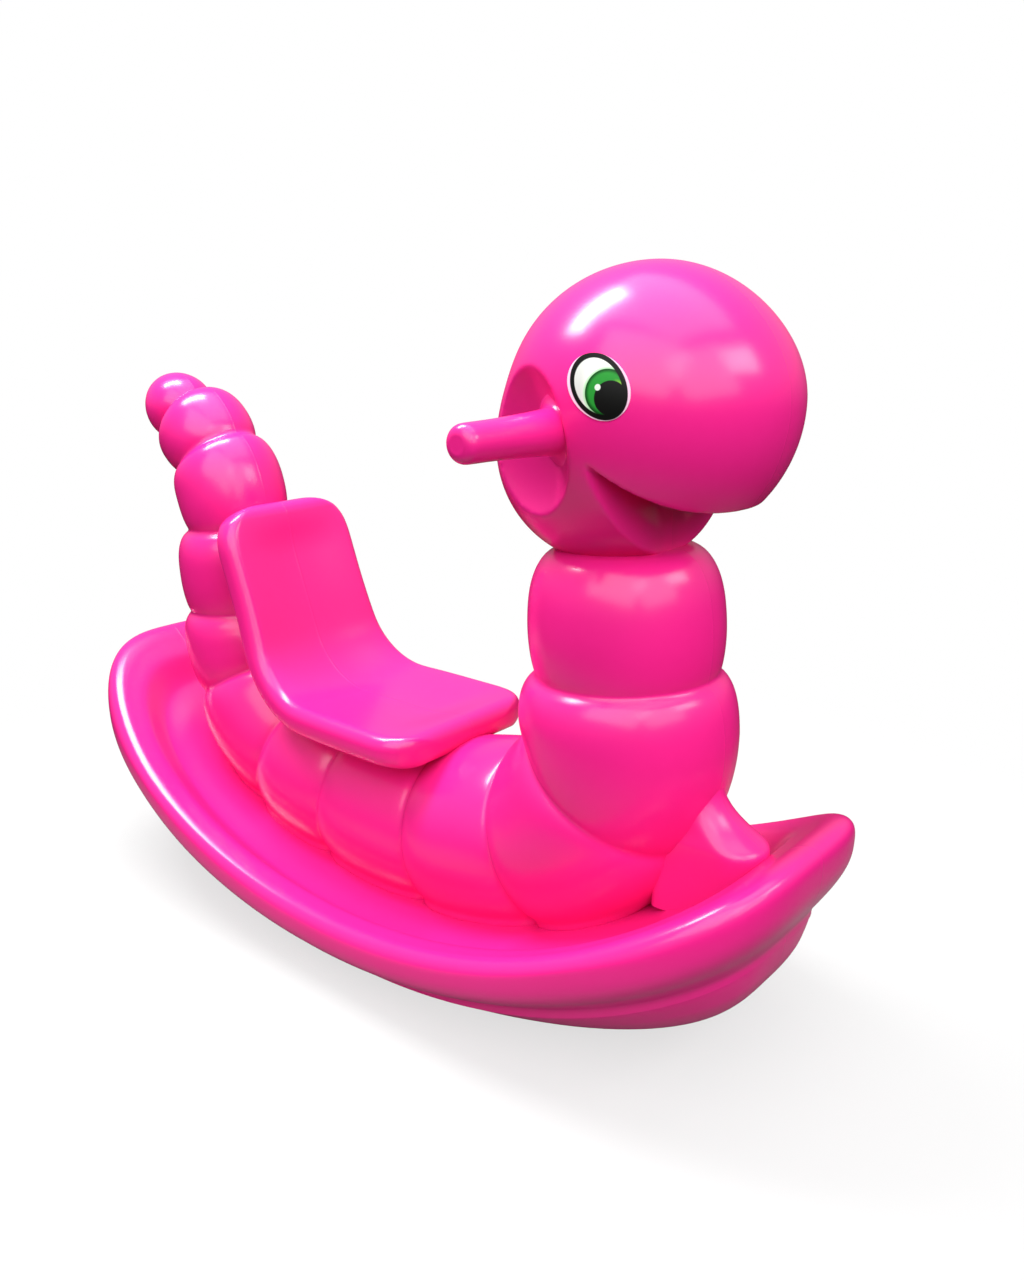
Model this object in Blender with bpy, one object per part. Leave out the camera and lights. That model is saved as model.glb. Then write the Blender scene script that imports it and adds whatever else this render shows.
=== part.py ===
"""Grub-shaped rocking toy for one small child, modelled in metres with +Z up and the head towards +X.

The real toy is one thick-walled moulding with a printed eye label on each cheek. It is modelled in the
sections that its creases draw: a rocker hull, a foot deck with a rolled rim, ten beads of the body, a
two-bead neck, a head with a smiling mouth, a saddle seat and two stub handles. The origin is on the floor
under the middle of the base.
"""

import math

import bmesh
import bpy
from mathutils import Vector

# Rocker hull and foot deck
BASE_LENGTH = 0.836
BASE_WIDTH = 0.320
LOW_POINT_FORWARD = 0.0135
BASE_SQUARENESS = 3.2
RIM_ARC_RADIUS = 0.632
RIM_CREST_HEIGHT = 0.071
RIM_ROLL = 0.0125
RIM_WALL_DROP = 0.059
RIM_EDGE_ARC_RADIUS = 0.722
RIM_WALL_DRAFT = 0.029
RIM_FRONT_DRAFT = 0.022
RIM_BACK_DRAFT = 0.034
RIM_EDGE_ROUND = 0.008
VALLEY_DEPTH = 0.022
VALLEY_INSET = 0.050
PLINTH_INSET = 0.082
PLINTH_RISE = 0.006
KEEL_ARC_RADIUS = 0.790
KEEL_FLAT = 0.130
HULL_INSET = 0.040
HULL_NOSE_INSET = 0.020
HULL_TAIL_INSET = 0.040
HULL_SIDE_DRAFT = 0.030
HULL_NOSE_DRAFT = 0.012
HULL_EDGE_ROUND = 0.036
HULL_NOSE_ROUND = 0.085
BASE_STEPS = 64

# Path that the body follows, from the low point over the keel
SPINE_BEHIND_LOW_POINT = 0.007
SPINE_OVER_DECK = 0.058
BELLY_RADIUS_FRONT = 0.450
BELLY_ANGLE_FRONT = 20.0
CHEST_RADIUS = 0.125
CHEST_ANGLE = 73.4
BELLY_RADIUS_BACK = 0.600
BELLY_ANGLE_BACK = 15.0
RUMP_RADIUS = 0.145
RUMP_ANGLE = 70.0
TAIL_STRAIGHT = 0.110
TAIL_CURL_RADIUS = 0.130

# Lengths of the beads along the path, and their girths
BELLY_FRONT_LENGTH = 0.046
SHOULDER_LENGTH = 0.116
CHEST_LENGTH = 0.104
LOWER_NECK_LENGTH = 0.093
UPPER_NECK_LENGTH = 0.103
BELLY_BACK_LENGTH = 0.074
HIP_LENGTH = 0.096
RUMP_LENGTH = 0.104
TAIL_BEAD_LENGTHS = (0.075, 0.087, 0.079, 0.056)
BELLY_GIRTH = 0.083
SHOULDER_GIRTH = 0.087
CHEST_GIRTH = 0.091
LOWER_NECK_GIRTH = 0.0895
UPPER_NECK_GIRTH = 0.0785
NECK_TOP_GIRTH = 0.051
HIP_GIRTH = 0.081
RUMP_GIRTH = 0.077
TAIL_BEAD_GIRTHS = (0.070, 0.0655, 0.0565, 0.0495)
TAIL_TIP_RADIUS = 0.036
CREASE_DEPTH = 0.0085
NECK_CREASE_TILT = -12.0
BEAD_FULLNESS = 2.4
BEAD_STEPS = 30
BEAD_RINGS = 8

# Head
HEAD_RADIUS = 0.1085
HEAD_REACH = 0.0235
HEAD_LIFT = 0.1120
HEAD_CROWN = 0.0990
BROW_SLOPE = 0.10
JAW_RADIUS = 0.088
JAW_BACK = 0.038
JAW_DROP = 0.038
CHEEK_BLEND = 12
MOUTH_CORNER_ANGLE = 84.0
MOUTH_FRONT_DROP = 0.0705
MOUTH_CORNER_DROP = 0.034
MOUTH_GAPE = 0.026
MOUTH_DEPTH = 0.012
LOWER_LIP_REACH = 0.026
SMILE_POWER = 3.1
HEAD_STEPS = 44

# Handles, in their dished recesses
HANDLE_DIAMETER = 0.0265
HANDLE_SPAN = 0.390
HANDLE_BACK = 0.020
HANDLE_DROP = 0.016
HANDLE_ROOT_FLARE = 0.006
HANDLE_EDGE_ROUND = 0.004
DISH_TURN = 114.0
DISH_RAISE = -11.0
DISH_LENGTH = 0.084
DISH_HEIGHT = 0.096
DISH_DEPTH = 0.014
DISH_BULGE = 0.030

# Eye labels
EYE_LENGTH = 0.053
EYE_WIDTH = 0.039
EYE_FORWARD_ANGLE = 78.0
EYE_RAISE_ANGLE = 10.0
EYE_LEAN = 38.0
LABEL_THICKNESS = 0.0006
EYE_STEPS = 28

# Seat
SEAT_WIDTH = 0.186
BACKREST_WIDTH = 0.158
SEAT_THICKNESS = 0.030
SEAT_DISH = 0.007
SEAT_FRONT = 0.0725
SEAT_SINK = 0.001
BACKREST_SINK = 0.004
SEAT_BEND_RADIUS = 0.085
BACKREST_LEAN = 20.0
BACKREST_LENGTH = 0.137
SEAT_CORNER_RADIUS = 0.040

# Web between neck and deck
BRACE_THICKNESS = 0.044
BRACE_REACH = 0.046

CLEARANCE = 0.0003


def clear_scene():
    """Removes everything from the scene."""
    for old in list(bpy.data.objects):
        bpy.data.objects.remove(old, do_unlink=True)


def plastic(name, colour, roughness):
    """A material with the colour and gloss of the moulded toy."""
    material = bpy.data.materials.new(name)
    material.use_nodes = True
    shader = material.node_tree.nodes["Principled BSDF"]
    shader.inputs["Base Color"].default_value = (*colour, 1.0)
    shader.inputs["Roughness"].default_value = roughness
    shader.inputs["Metallic"].default_value = 0.0
    material.diffuse_color = (*colour, 1.0)
    return material


def add_object(name, bm, sharp=35.0):
    """Links a finished mesh to the scene, with round faces shaded smooth."""
    bm.normal_update()
    bmesh.ops.recalc_face_normals(bm, faces=bm.faces)
    mesh = bpy.data.meshes.new(name)
    bm.to_mesh(mesh)
    bm.free()
    mesh.shade_smooth()
    mesh.set_sharp_from_angle(angle=math.radians(sharp))
    made = bpy.data.objects.new(name, mesh)
    bpy.context.scene.collection.objects.link(made)
    return made


def paint(piece, colour=(1.0, 0.026, 0.305), roughness=0.22):
    """Gives a piece its own material."""
    piece.data.materials.append(plastic(piece.name + "_plastic", colour, roughness))


def loft(name, rings):
    """A closed skin over rings of equal count, capped flat at both ends."""
    bm = bmesh.new()
    rows = [[bm.verts.new(point) for point in ring] for ring in rings]
    count = len(rings[0])
    for first, second in zip(rows, rows[1:]):
        for i in range(count):
            j = (i + 1) % count
            bm.faces.new((first[i], first[j], second[j], second[i]))
    for cap in (rows[0], rows[-1]):
        bm.faces.new(cap)
    return add_object(name, bm)


def cut(piece, cutter, name):
    """Subtracts a hidden cutter from a piece."""
    cutter.hide_render = True
    cutter.display_type = "WIRE"
    boolean = piece.modifiers.new(name, "BOOLEAN")
    boolean.operation = "DIFFERENCE"
    boolean.solver = "EXACT"
    boolean.object = cutter


# Rocker hull and foot deck


def arc_height(radius, x):
    """How far an upturned arc has risen at x, from its low point."""
    along = x - LOW_POINT_FORWARD
    return radius - math.sqrt(max(radius * radius - along * along, 0.0))


def crest_height(x):
    """Height of the rim's crest at x."""
    return RIM_CREST_HEIGHT + arc_height(RIM_ARC_RADIUS, x)


def keel_height(x):
    """Height of the keel at x: flat where the toy settles, then the rocking arc."""
    beyond = max(abs(x - LOW_POINT_FORWARD) - KEEL_FLAT / 2, 0.0)
    return arc_height(KEEL_ARC_RADIUS, LOW_POINT_FORWARD + beyond)


def plan_ring(side_inset, front_inset=None, back_inset=None):
    """Points round the base's plan outline, drawn in by the insets at its sides, front and back."""
    front = BASE_LENGTH / 2 - (side_inset if front_inset is None else front_inset)
    back = BASE_LENGTH / 2 - (side_inset if back_inset is None else back_inset)
    half_width = BASE_WIDTH / 2 - side_inset
    power = 2.0 / BASE_SQUARENESS
    ring = []
    for step in range(BASE_STEPS):
        turn = 2 * math.pi * (step + 0.5) / BASE_STEPS
        c, s = math.cos(turn), math.sin(turn)
        x = (front if c > 0 else back) * math.copysign(abs(c) ** power, c)
        y = half_width * math.copysign(abs(s) ** power, s)
        ring.append((x, y))
    return ring


def plate(name, profile):
    """A piece whose section is carried round the plan outline, closed across its middle at both faces.

    Each station of the profile is the insets at the sides, front and back, and a height rule in x.
    """
    bm = bmesh.new()
    rows = []
    for insets, height in profile:
        ring = plan_ring(*insets)
        rows.append([bm.verts.new((x, y, height(x))) for x, y in ring])
    for first, second in zip(rows, rows[1:]):
        for i in range(BASE_STEPS):
            j = (i + 1) % BASE_STEPS
            bm.faces.new((first[i], first[j], second[j], second[i]))
    half = BASE_STEPS // 2
    for row in (rows[0], rows[-1]):
        for i in range(half - 1):
            j = BASE_STEPS - 1 - i
            bm.faces.new((row[i], row[i + 1], row[j - 1], row[j]))
    return add_object(name, bm)


def deck_floor(x):
    """Height of the deck under the body at x."""
    return crest_height(x) - VALLEY_DEPTH + PLINTH_RISE


def flange_under(x):
    """Height of the deck's underside at x, whose flatter arc makes the wall taller towards the ends."""
    return RIM_CREST_HEIGHT - RIM_WALL_DROP + arc_height(RIM_EDGE_ARC_RADIUS, x)


def wall_insets(share):
    """How far the outer wall has leaned in at its sides, front and back, from its widest line downwards."""
    return [draft * share for draft in (RIM_WALL_DRAFT, RIM_FRONT_DRAFT, RIM_BACK_DRAFT)]


def above_deck(drop, lift=0.0):
    """A height rule that follows the rim's crest, lowered by a drop and raised by a lift."""
    return lambda x: crest_height(x) - drop + lift


def deck_top(lift=0.0):
    """Stations across the deck's top, from the plinth under the body out to the rim's crest."""
    roll = RIM_ROLL
    profile = [((PLINTH_INSET,), above_deck(VALLEY_DEPTH - PLINTH_RISE, lift))]
    profile.append(((VALLEY_INSET,), above_deck(VALLEY_DEPTH, lift)))
    profile.append(((VALLEY_INSET - 0.35 * roll,), above_deck(VALLEY_DEPTH * 0.92, lift)))
    for share in (0.30, 0.55, 0.80):
        inset = VALLEY_INSET + (2 * roll - VALLEY_INSET) * share
        eased = 0.5 - 0.5 * math.cos(math.pi * share)
        profile.append(((inset,), above_deck(VALLEY_DEPTH * (1 - eased), lift)))
    profile.append(((roll,), above_deck(0.0, lift)))
    return profile


def make_foot_deck():
    """The tray for the feet, with its rolled rim and drafted outer wall."""
    roll = RIM_ROLL

    def wall(share):
        def height(x):
            top = crest_height(x) - roll
            return top + (flange_under(x) + RIM_EDGE_ROUND - top) * share

        return height

    profile = deck_top()
    for turn in (60, 30, 0):
        angle = math.radians(turn)
        inset = roll - roll * math.cos(angle)
        profile.append(((inset,), above_deck(roll - roll * math.sin(angle))))
    for share in (0.4, 0.75):
        profile.append((wall_insets(share**1.6), wall(share)))
    for inward, height in ((0.0, 1.0), (0.3, 0.3), (1.0, 0.0)):
        insets = [inset + inward * RIM_EDGE_ROUND for inset in wall_insets(1.0)]
        profile.append((insets, lambda x, up=height * RIM_EDGE_ROUND: flange_under(x) + up))
    return plate("foot_deck", profile)


def make_deck_cutter():
    """Everything below the deck's top, with the clearance, for what stands on the deck."""
    profile = deck_top(CLEARANCE)
    outside = -4 * RIM_ROLL
    profile.append(((outside,), above_deck(0.0, CLEARANCE)))
    profile.append(((outside,), lambda x: -BASE_WIDTH))
    return plate("deck_cutter", profile)


def make_rocker_hull():
    """The narrower hull under the deck, down to the keel that rocks on the floor."""

    def side(share):
        def height(x):
            top = flange_under(x) - CLEARANCE
            return top + (keel_height(x) - top) * share

        return height

    profile = []
    for share, under in ((0.0, 0.0), (0.35, 0.03), (0.62, 0.13), (0.84, 0.36), (0.96, 0.68), (1.0, 1.0)):
        inset = HULL_INSET + HULL_SIDE_DRAFT * share + HULL_EDGE_ROUND * under
        end = HULL_NOSE_DRAFT * share + HULL_NOSE_ROUND * under
        profile.append(((inset, HULL_NOSE_INSET + end, HULL_TAIL_INSET + end), side(share)))
    return plate("rocker_hull", profile)


# Path of the body


def spine_pieces():
    """The path ahead of its low point and behind it, each as runs of length and curvature."""
    front = [
        (BELLY_RADIUS_FRONT * math.radians(BELLY_ANGLE_FRONT), 1 / BELLY_RADIUS_FRONT),
        (CHEST_RADIUS * math.radians(CHEST_ANGLE), 1 / CHEST_RADIUS),
        (10.0, 0.0),
    ]
    back = [
        (BELLY_RADIUS_BACK * math.radians(BELLY_ANGLE_BACK), 1 / BELLY_RADIUS_BACK),
        (RUMP_RADIUS * math.radians(RUMP_ANGLE), 1 / RUMP_RADIUS),
        (TAIL_STRAIGHT, 0.0),
        (10.0, -1 / TAIL_CURL_RADIUS),
    ]
    return front, back


def spine_at(distance):
    """Point of the path at a distance from its low point, with its direction as an angle above +X."""
    front, back = spine_pieces()
    low = LOW_POINT_FORWARD - SPINE_BEHIND_LOW_POINT
    way = 1 if distance >= 0 else -1
    left = abs(distance)
    x, z, angle = 0.0, deck_floor(LOW_POINT_FORWARD) + SPINE_OVER_DECK, 0.0
    for length, curvature in front if way > 0 else back:
        run = min(length, left)
        turned = angle + run * curvature
        if abs(curvature) > 1e-9:
            x += (math.sin(turned) - math.sin(angle)) / curvature
            z += (math.cos(angle) - math.cos(turned)) / curvature
        else:
            x += run * math.cos(angle)
            z += run * math.sin(angle)
        angle = turned
        left -= run
        if left <= 0:
            break
    if way > 0:
        return Vector((low + x, 0, z)), Vector((math.cos(angle), 0, math.sin(angle)))
    return Vector((low - x, 0, z)), Vector((math.cos(angle), 0, -math.sin(angle)))


def ring_round(centre, along, radius, steps):
    """A circle of points square to a direction in the middle plane."""
    across = Vector((0, 1, 0))
    up = along.cross(across)
    ring = []
    for step in range(steps):
        turn = 2 * math.pi * (step + 0.5) / steps
        ring.append(centre + radius * (math.cos(turn) * across + math.sin(turn) * up))
    return ring


def tilted(along, tilt):
    """A direction in the middle plane, turned by an angle in degrees."""
    angle = math.atan2(along.z, along.x) + math.radians(tilt)
    return Vector((math.cos(angle), 0, math.sin(angle)))


def bead(name, start, end, girth, crease_start, crease_end, tilt_start, tilt_end, grow=0.0):
    """One swollen ring of the body between two creases, grown all round when it serves as a cutter."""
    rings = []
    gap = CLEARANCE / 2 - grow
    for step in range(BEAD_RINGS + 1):
        share = 0.5 - 0.5 * math.cos(math.pi * step / BEAD_RINGS)
        place = start + gap + (end - start - 2 * gap) * share
        crease = crease_start + (crease_end - crease_start) * share
        swell = (1 - abs(2 * share - 1) ** BEAD_FULLNESS) ** (1 / 2.0)
        centre, along = spine_at(place)
        along = tilted(along, tilt_start + (tilt_end - tilt_start) * share)
        rings.append(ring_round(centre, along, crease + (girth - crease) * swell + grow, BEAD_STEPS))
    return loft(name, rings)


def bead_list():
    """Every bead from tail to neck: its name, start, end, girth, crease radii and crease tilts."""
    ahead = [
        ("body_segment_4", SHOULDER_LENGTH, SHOULDER_GIRTH),
        ("body_segment_5", CHEST_LENGTH, CHEST_GIRTH),
        ("neck_lower", LOWER_NECK_LENGTH, LOWER_NECK_GIRTH),
        ("neck_upper", UPPER_NECK_LENGTH, UPPER_NECK_GIRTH),
    ]
    behind = [
        ("body_segment_2", HIP_LENGTH, HIP_GIRTH),
        ("body_segment_1", RUMP_LENGTH, RUMP_GIRTH),
    ]
    for index, (length, girth) in enumerate(zip(TAIL_BEAD_LENGTHS, TAIL_BEAD_GIRTHS)):
        behind.append((f"tail_segment_{4 - index}", length, girth))
    rows = [("body_segment_3", -BELLY_BACK_LENGTH, BELLY_FRONT_LENGTH, BELLY_GIRTH)]
    place = BELLY_FRONT_LENGTH
    for name, length, girth in ahead:
        rows.append((name, place, place + length, girth))
        place += length
    place = -BELLY_BACK_LENGTH
    for name, length, girth in behind:
        rows.insert(0, (name, place - length, place, girth))
        place -= length
    beads = []
    for index, (name, start, end, girth) in enumerate(rows):
        before = rows[index - 1][3] if index else TAIL_TIP_RADIUS
        after = rows[index + 1][3] if index + 1 < len(rows) else None
        first = min(before, girth) - CREASE_DEPTH
        last = NECK_TOP_GIRTH if after is None else min(girth, after) - CREASE_DEPTH
        tilt_start = NECK_CREASE_TILT if name == "neck_lower" else 0.0
        tilt_end = NECK_CREASE_TILT if name == "body_segment_5" else 0.0
        beads.append((name, start, end, girth, first, last, tilt_start, tilt_end))
    return beads


def make_tail_tip(first_bead):
    """The small ball that ends the tail, cut flat against the last bead."""
    start, crease = first_bead[1], first_bead[4]
    centre, along = spine_at(start)
    reach = math.sqrt(max(TAIL_TIP_RADIUS**2 - crease**2, 0.0))
    middle = centre - along * (reach + CLEARANCE / 2)
    rings = []
    open_angle = math.atan2(crease, -reach)
    for step in range(1, BEAD_RINGS + 3):
        turn = math.radians(8) + (open_angle - math.radians(8)) * (step - 1) / (BEAD_RINGS + 1)
        place = middle - along * (TAIL_TIP_RADIUS * math.cos(turn))
        rings.append(ring_round(place, along, TAIL_TIP_RADIUS * math.sin(turn), BEAD_STEPS))
    return loft("tail_tip", rings)


# Seat


def seat_level():
    """Height of the pan's middle surface, resting on the belly."""
    return deck_floor(LOW_POINT_FORWARD) + SPINE_OVER_DECK + BELLY_GIRTH - SEAT_SINK + SEAT_THICKNESS / 2


def seat_heel():
    """Where the pan starts to bend up, so that the backrest leans on the bead of the tail behind its top."""
    behind = sum(TAIL_BEAD_LENGTHS[:2]) + TAIL_BEAD_LENGTHS[2] / 2
    centre, _ = spine_at(-(BELLY_BACK_LENGTH + HIP_LENGTH + RUMP_LENGTH + behind))
    bend = math.radians(90 - BACKREST_LEAN)
    reach = TAIL_BEAD_GIRTHS[2] - BACKREST_SINK + SEAT_THICKNESS / 2
    x = centre.x + reach * math.sin(bend)
    z = centre.z + reach * math.cos(bend)
    rest = (z - seat_level() - SEAT_BEND_RADIUS * (1 - math.cos(bend))) / math.sin(bend)
    return x + SEAT_BEND_RADIUS * math.sin(bend) + rest * math.cos(bend)


def seat_path(distance):
    """Point on the seat's middle surface, counted back from its front edge, with its slope as an angle."""
    heel = seat_heel()
    pan = SEAT_FRONT - heel
    middle = seat_level()
    bend = math.radians(90 - BACKREST_LEAN)
    radius = SEAT_BEND_RADIUS
    if distance <= pan:
        return Vector((SEAT_FRONT - distance, 0, middle)), 0.0
    curve = distance - pan
    if curve <= radius * bend:
        angle = curve / radius
        return Vector((heel - radius * math.sin(angle), 0, middle + radius * (1 - math.cos(angle)))), angle
    rest = curve - radius * bend
    x = heel - radius * math.sin(bend) - rest * math.cos(bend)
    z = middle + radius * (1 - math.cos(bend)) + rest * math.sin(bend)
    return Vector((x, 0, z)), bend


def seat_length():
    """Length of the seat along its middle surface, from front edge to the top of the backrest."""
    bend = math.radians(90 - BACKREST_LEAN)
    return SEAT_FRONT - seat_heel() + SEAT_BEND_RADIUS * bend + BACKREST_LENGTH


def seat_half_width(distance, length):
    """Half the width of the seat at a distance from its front, with its round corners."""
    share = min(max((distance - 0.25 * length) / (0.55 * length), 0.0), 1.0)
    eased = 0.5 - 0.5 * math.cos(math.pi * share)
    half = (SEAT_WIDTH + (BACKREST_WIDTH - SEAT_WIDTH) * eased) / 2
    into = SEAT_CORNER_RADIUS - min(distance, length - distance)
    if into > 0:
        half -= SEAT_CORNER_RADIUS - math.sqrt(max(SEAT_CORNER_RADIUS**2 - into**2, 0.0))
    return half


def make_seat(name, grow=0.0):
    """The saddle: a thick slab with a rolled edge, dished across and bent up into a backrest."""
    length = seat_length()
    half_thick = SEAT_THICKNESS / 2
    stations = [half_thick * (1 - math.cos(math.radians(turn))) for turn in (12, 38, 64, 90)]
    stations += [SEAT_CORNER_RADIUS * 0.7]
    spans = 13
    first, last = SEAT_CORNER_RADIUS, length - SEAT_CORNER_RADIUS
    middle = [first + (last - first) * step / spans for step in range(spans + 1)]
    places = stations + middle + [length - place for place in reversed(stations)]
    rings = []
    for place in places:
        edge = min(place, length - place)
        thick = half_thick
        if edge < half_thick:
            thick = math.sqrt(max(half_thick**2 - (half_thick - edge) ** 2, 0.0))
        thick += grow
        wide = seat_half_width(place, length) + grow
        shift = -grow if place < half_thick else grow if place > length - half_thick else 0.0
        centre, angle = seat_path(place + shift)
        face = Vector((math.sin(angle), 0, math.cos(angle)))
        ring = []
        for step in range(24):
            turn = 2 * math.pi * (step + 0.5) / 24
            c, s = math.cos(turn), math.sin(turn)
            y = (wide - thick) * math.copysign(abs(c) ** 0.8, c) + thick * c
            rise = thick * math.copysign(abs(s) ** 0.8, s)
            dish = SEAT_DISH * (1 - min(abs(y) / max(wide, 1e-6), 1.0) ** 2)
            ring.append(centre + Vector((0, y, 0)) + face * (rise - dish))
        rings.append(ring)
    return loft(name, rings)


# Head


def head_centre():
    """Centre of the head's ball, over the top of the neck."""
    top, _ = spine_at(neck_length())
    return top + Vector((HEAD_REACH, 0, HEAD_LIFT))


def neck_length():
    """Distance along the path from its low point to the top of the neck."""
    return BELLY_FRONT_LENGTH + SHOULDER_LENGTH + CHEST_LENGTH + LOWER_NECK_LENGTH + UPPER_NECK_LENGTH


def ball_reach(origin, way, centre, radius):
    """Distance from a point inside a ball to its surface."""
    offset = origin - centre
    half = offset.dot(way)
    return -half + math.sqrt(max(half * half - offset.dot(offset) + radius * radius, 0.0))


def head_origin():
    """A point inside both the ball and the jaw, from which the head's surface is measured."""
    return head_centre() + Vector((-0.4 * JAW_BACK, 0, -0.4 * JAW_DROP))


def head_point(way, lift=0.0):
    """Point of the head's surface in a direction from its origin: the ball and the jaw, blended."""
    origin = head_origin()
    ball = ball_reach(origin, way, head_centre(), HEAD_RADIUS)
    jaw_centre = head_centre() + Vector((-JAW_BACK, 0, -JAW_DROP))
    jaw = ball_reach(origin, way, jaw_centre, JAW_RADIUS)
    reach = (ball**CHEEK_BLEND + jaw**CHEEK_BLEND) ** (1 / CHEEK_BLEND)
    point = origin + way * (reach + lift)
    above = point.z - head_centre().z
    ahead = max(point.x - head_centre().x, 0.0) / HEAD_RADIUS
    if above > 0:
        point.z -= above * (1 - HEAD_CROWN / HEAD_RADIUS + BROW_SLOPE * ahead * ahead)
    return point


def make_head():
    """The ball of the head with its jaw, closed over poles at the crown and the chin."""
    rows = HEAD_STEPS // 2
    rings = []
    for row in range(1, rows):
        tilt = math.pi * row / rows
        ring = []
        for step in range(HEAD_STEPS):
            turn = 2 * math.pi * step / HEAD_STEPS
            way = Vector((math.sin(tilt) * math.cos(turn), math.sin(tilt) * math.sin(turn), math.cos(tilt)))
            ring.append(head_point(way))
        rings.append(ring)
    bm = bmesh.new()
    lines = [[bm.verts.new(point) for point in ring] for ring in rings]
    for first, second in zip(lines, lines[1:]):
        for i in range(HEAD_STEPS):
            j = (i + 1) % HEAD_STEPS
            bm.faces.new((first[i], second[i], second[j], first[j]))
    crown = bm.verts.new(head_point(Vector((0, 0, 1))))
    chin = bm.verts.new(head_point(Vector((0, 0, -1))))
    for i in range(HEAD_STEPS):
        j = (i + 1) % HEAD_STEPS
        bm.faces.new((crown, lines[0][i], lines[0][j]))
        bm.faces.new((chin, lines[-1][j], lines[-1][i]))
    return add_object("head", bm)


def make_mouth_cutter():
    """A hollow that follows the smile from one corner, round under the snout, to the other."""
    centre = head_centre()
    spans = 28
    rings = []
    for step in range(spans + 1):
        share = 2 * step / spans - 1
        turn = math.radians(MOUTH_CORNER_ANGLE) * share
        top = -MOUTH_FRONT_DROP + (MOUTH_FRONT_DROP - MOUTH_CORNER_DROP) * abs(share) ** SMILE_POWER
        low = top - MOUTH_GAPE * max(1 - abs(share) ** 9, 0.01)
        skin = math.sqrt(max(HEAD_RADIUS**2 - low**2, 0.0))
        lip = skin + (LOWER_LIP_REACH - skin) * (1 - abs(share) ** 2.5)
        inner = lip - MOUTH_DEPTH * max(1 - abs(share) ** 6, 0.02)
        outer = 1.1 * HEAD_RADIUS
        bottom = -HEAD_LIFT - MOUTH_GAPE
        section = (
            (inner, top + 0.45 * (low - top)),
            (outer, top + 0.05 * (low - top)),
            (outer, bottom),
            (lip + 0.0005, bottom),
            (lip, low),
        )
        along = Vector((math.cos(turn), math.sin(turn), 0))
        rings.append([centre + along * reach + Vector((0, 0, height)) for reach, height in section])
    return loft("mouth_cutter", rings)


def handle_axis():
    """Middle point between the handles' roots."""
    return head_centre() + Vector((-HANDLE_BACK, 0, -HANDLE_DROP))


def dish_direction(side):
    """Direction from the head's centre to the middle of a dish, with the tangents along and up the cheek."""
    turn, rise = math.radians(DISH_TURN), math.radians(DISH_RAISE)
    out = Vector((math.cos(turn) * math.cos(rise), side * math.sin(turn) * math.cos(rise), math.sin(rise)))
    ahead = Vector((math.sin(turn), -side * math.cos(turn), 0))
    return out, ahead, out.cross(ahead) * -side


def dish_radius(opening):
    """Half-axis of the dish's cutter that leaves an opening of this size in the round cheek."""
    half = opening / 2
    drop = DISH_DEPTH - half * half / (2 * HEAD_RADIUS)
    return half / math.sqrt(1 - (1 - drop / DISH_BULGE) ** 2)


def handle_seat():
    """How far from the middle plane a handle's root is seated, on the floor of its dish."""
    axis = handle_axis() - head_centre()
    skin = Vector((axis.x, math.sqrt(HEAD_RADIUS**2 - axis.x**2 - axis.z**2), axis.z))
    out, ahead, up = dish_direction(1)
    along, across = skin.dot(ahead) / dish_radius(DISH_LENGTH), skin.dot(up) / dish_radius(DISH_HEIGHT)
    floor = HEAD_RADIUS - DISH_DEPTH + DISH_BULGE * (1 - math.sqrt(max(1 - along**2 - across**2, 0.0)))
    return skin.y - (skin.dot(out) - floor) / out.y


def make_dish_cutter(side, name):
    """A broad oval dish in the cheek, round and behind the handle."""
    out, ahead, up = dish_direction(side)
    middle = head_centre() + out * (HEAD_RADIUS - DISH_DEPTH + DISH_BULGE)
    bm = bmesh.new()
    bmesh.ops.create_uvsphere(bm, u_segments=32, v_segments=16, radius=1.0)
    half_length, half_height = dish_radius(DISH_LENGTH), dish_radius(DISH_HEIGHT)
    for vert in bm.verts:
        spot = vert.co.copy()
        vert.co = middle + ahead * (spot.x * half_length) + up * (spot.y * half_height)
        vert.co += out * (spot.z * DISH_BULGE)
    return add_object(name, bm)


def turned(name, profile, side):
    """A solid of revolution about the handles' axis, from radius and distance off the middle plane."""
    axis = handle_axis()
    rings = []
    for radius, place in profile:
        ring = []
        for step in range(24):
            turn = 2 * math.pi * step / 24
            spot = Vector((radius * math.cos(turn), side * place, radius * math.sin(turn)))
            ring.append(Vector((axis.x, 0, axis.z)) + spot)
        rings.append(ring)
    return loft(name, rings)


def make_seat_cutter_for_handle(side, name):
    """A flat round spot face at the bottom of the dish, where the handle's flare sits."""
    root = HANDLE_DIAMETER / 2 + HANDLE_ROOT_FLARE + 2 * CLEARANCE
    seat = handle_seat() - CLEARANCE
    return turned(name, [(root, seat), (root, seat + 2 * DISH_BULGE)], side)


def make_handle(name, side):
    """A stub handle with a flared root and a rounded end."""
    radius = HANDLE_DIAMETER / 2
    root = handle_seat()
    profile = []
    for turn in (90, 66, 42, 18, 0):
        angle = math.radians(turn)
        flare = HANDLE_ROOT_FLARE * (1 - math.cos(angle))
        rise = HANDLE_ROOT_FLARE * (1 - math.sin(angle))
        profile.append((radius + flare, root + rise + (0.0 if turn == 90 else 0.001)))
    end = HANDLE_SPAN / 2
    for turn in (0, 30, 60, 90):
        angle = math.radians(turn)
        inward = HANDLE_EDGE_ROUND * (1 - math.cos(angle))
        profile.append((radius - inward, end - HANDLE_EDGE_ROUND + HANDLE_EDGE_ROUND * math.sin(angle)))
    return turned(name, profile, side)


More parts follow.
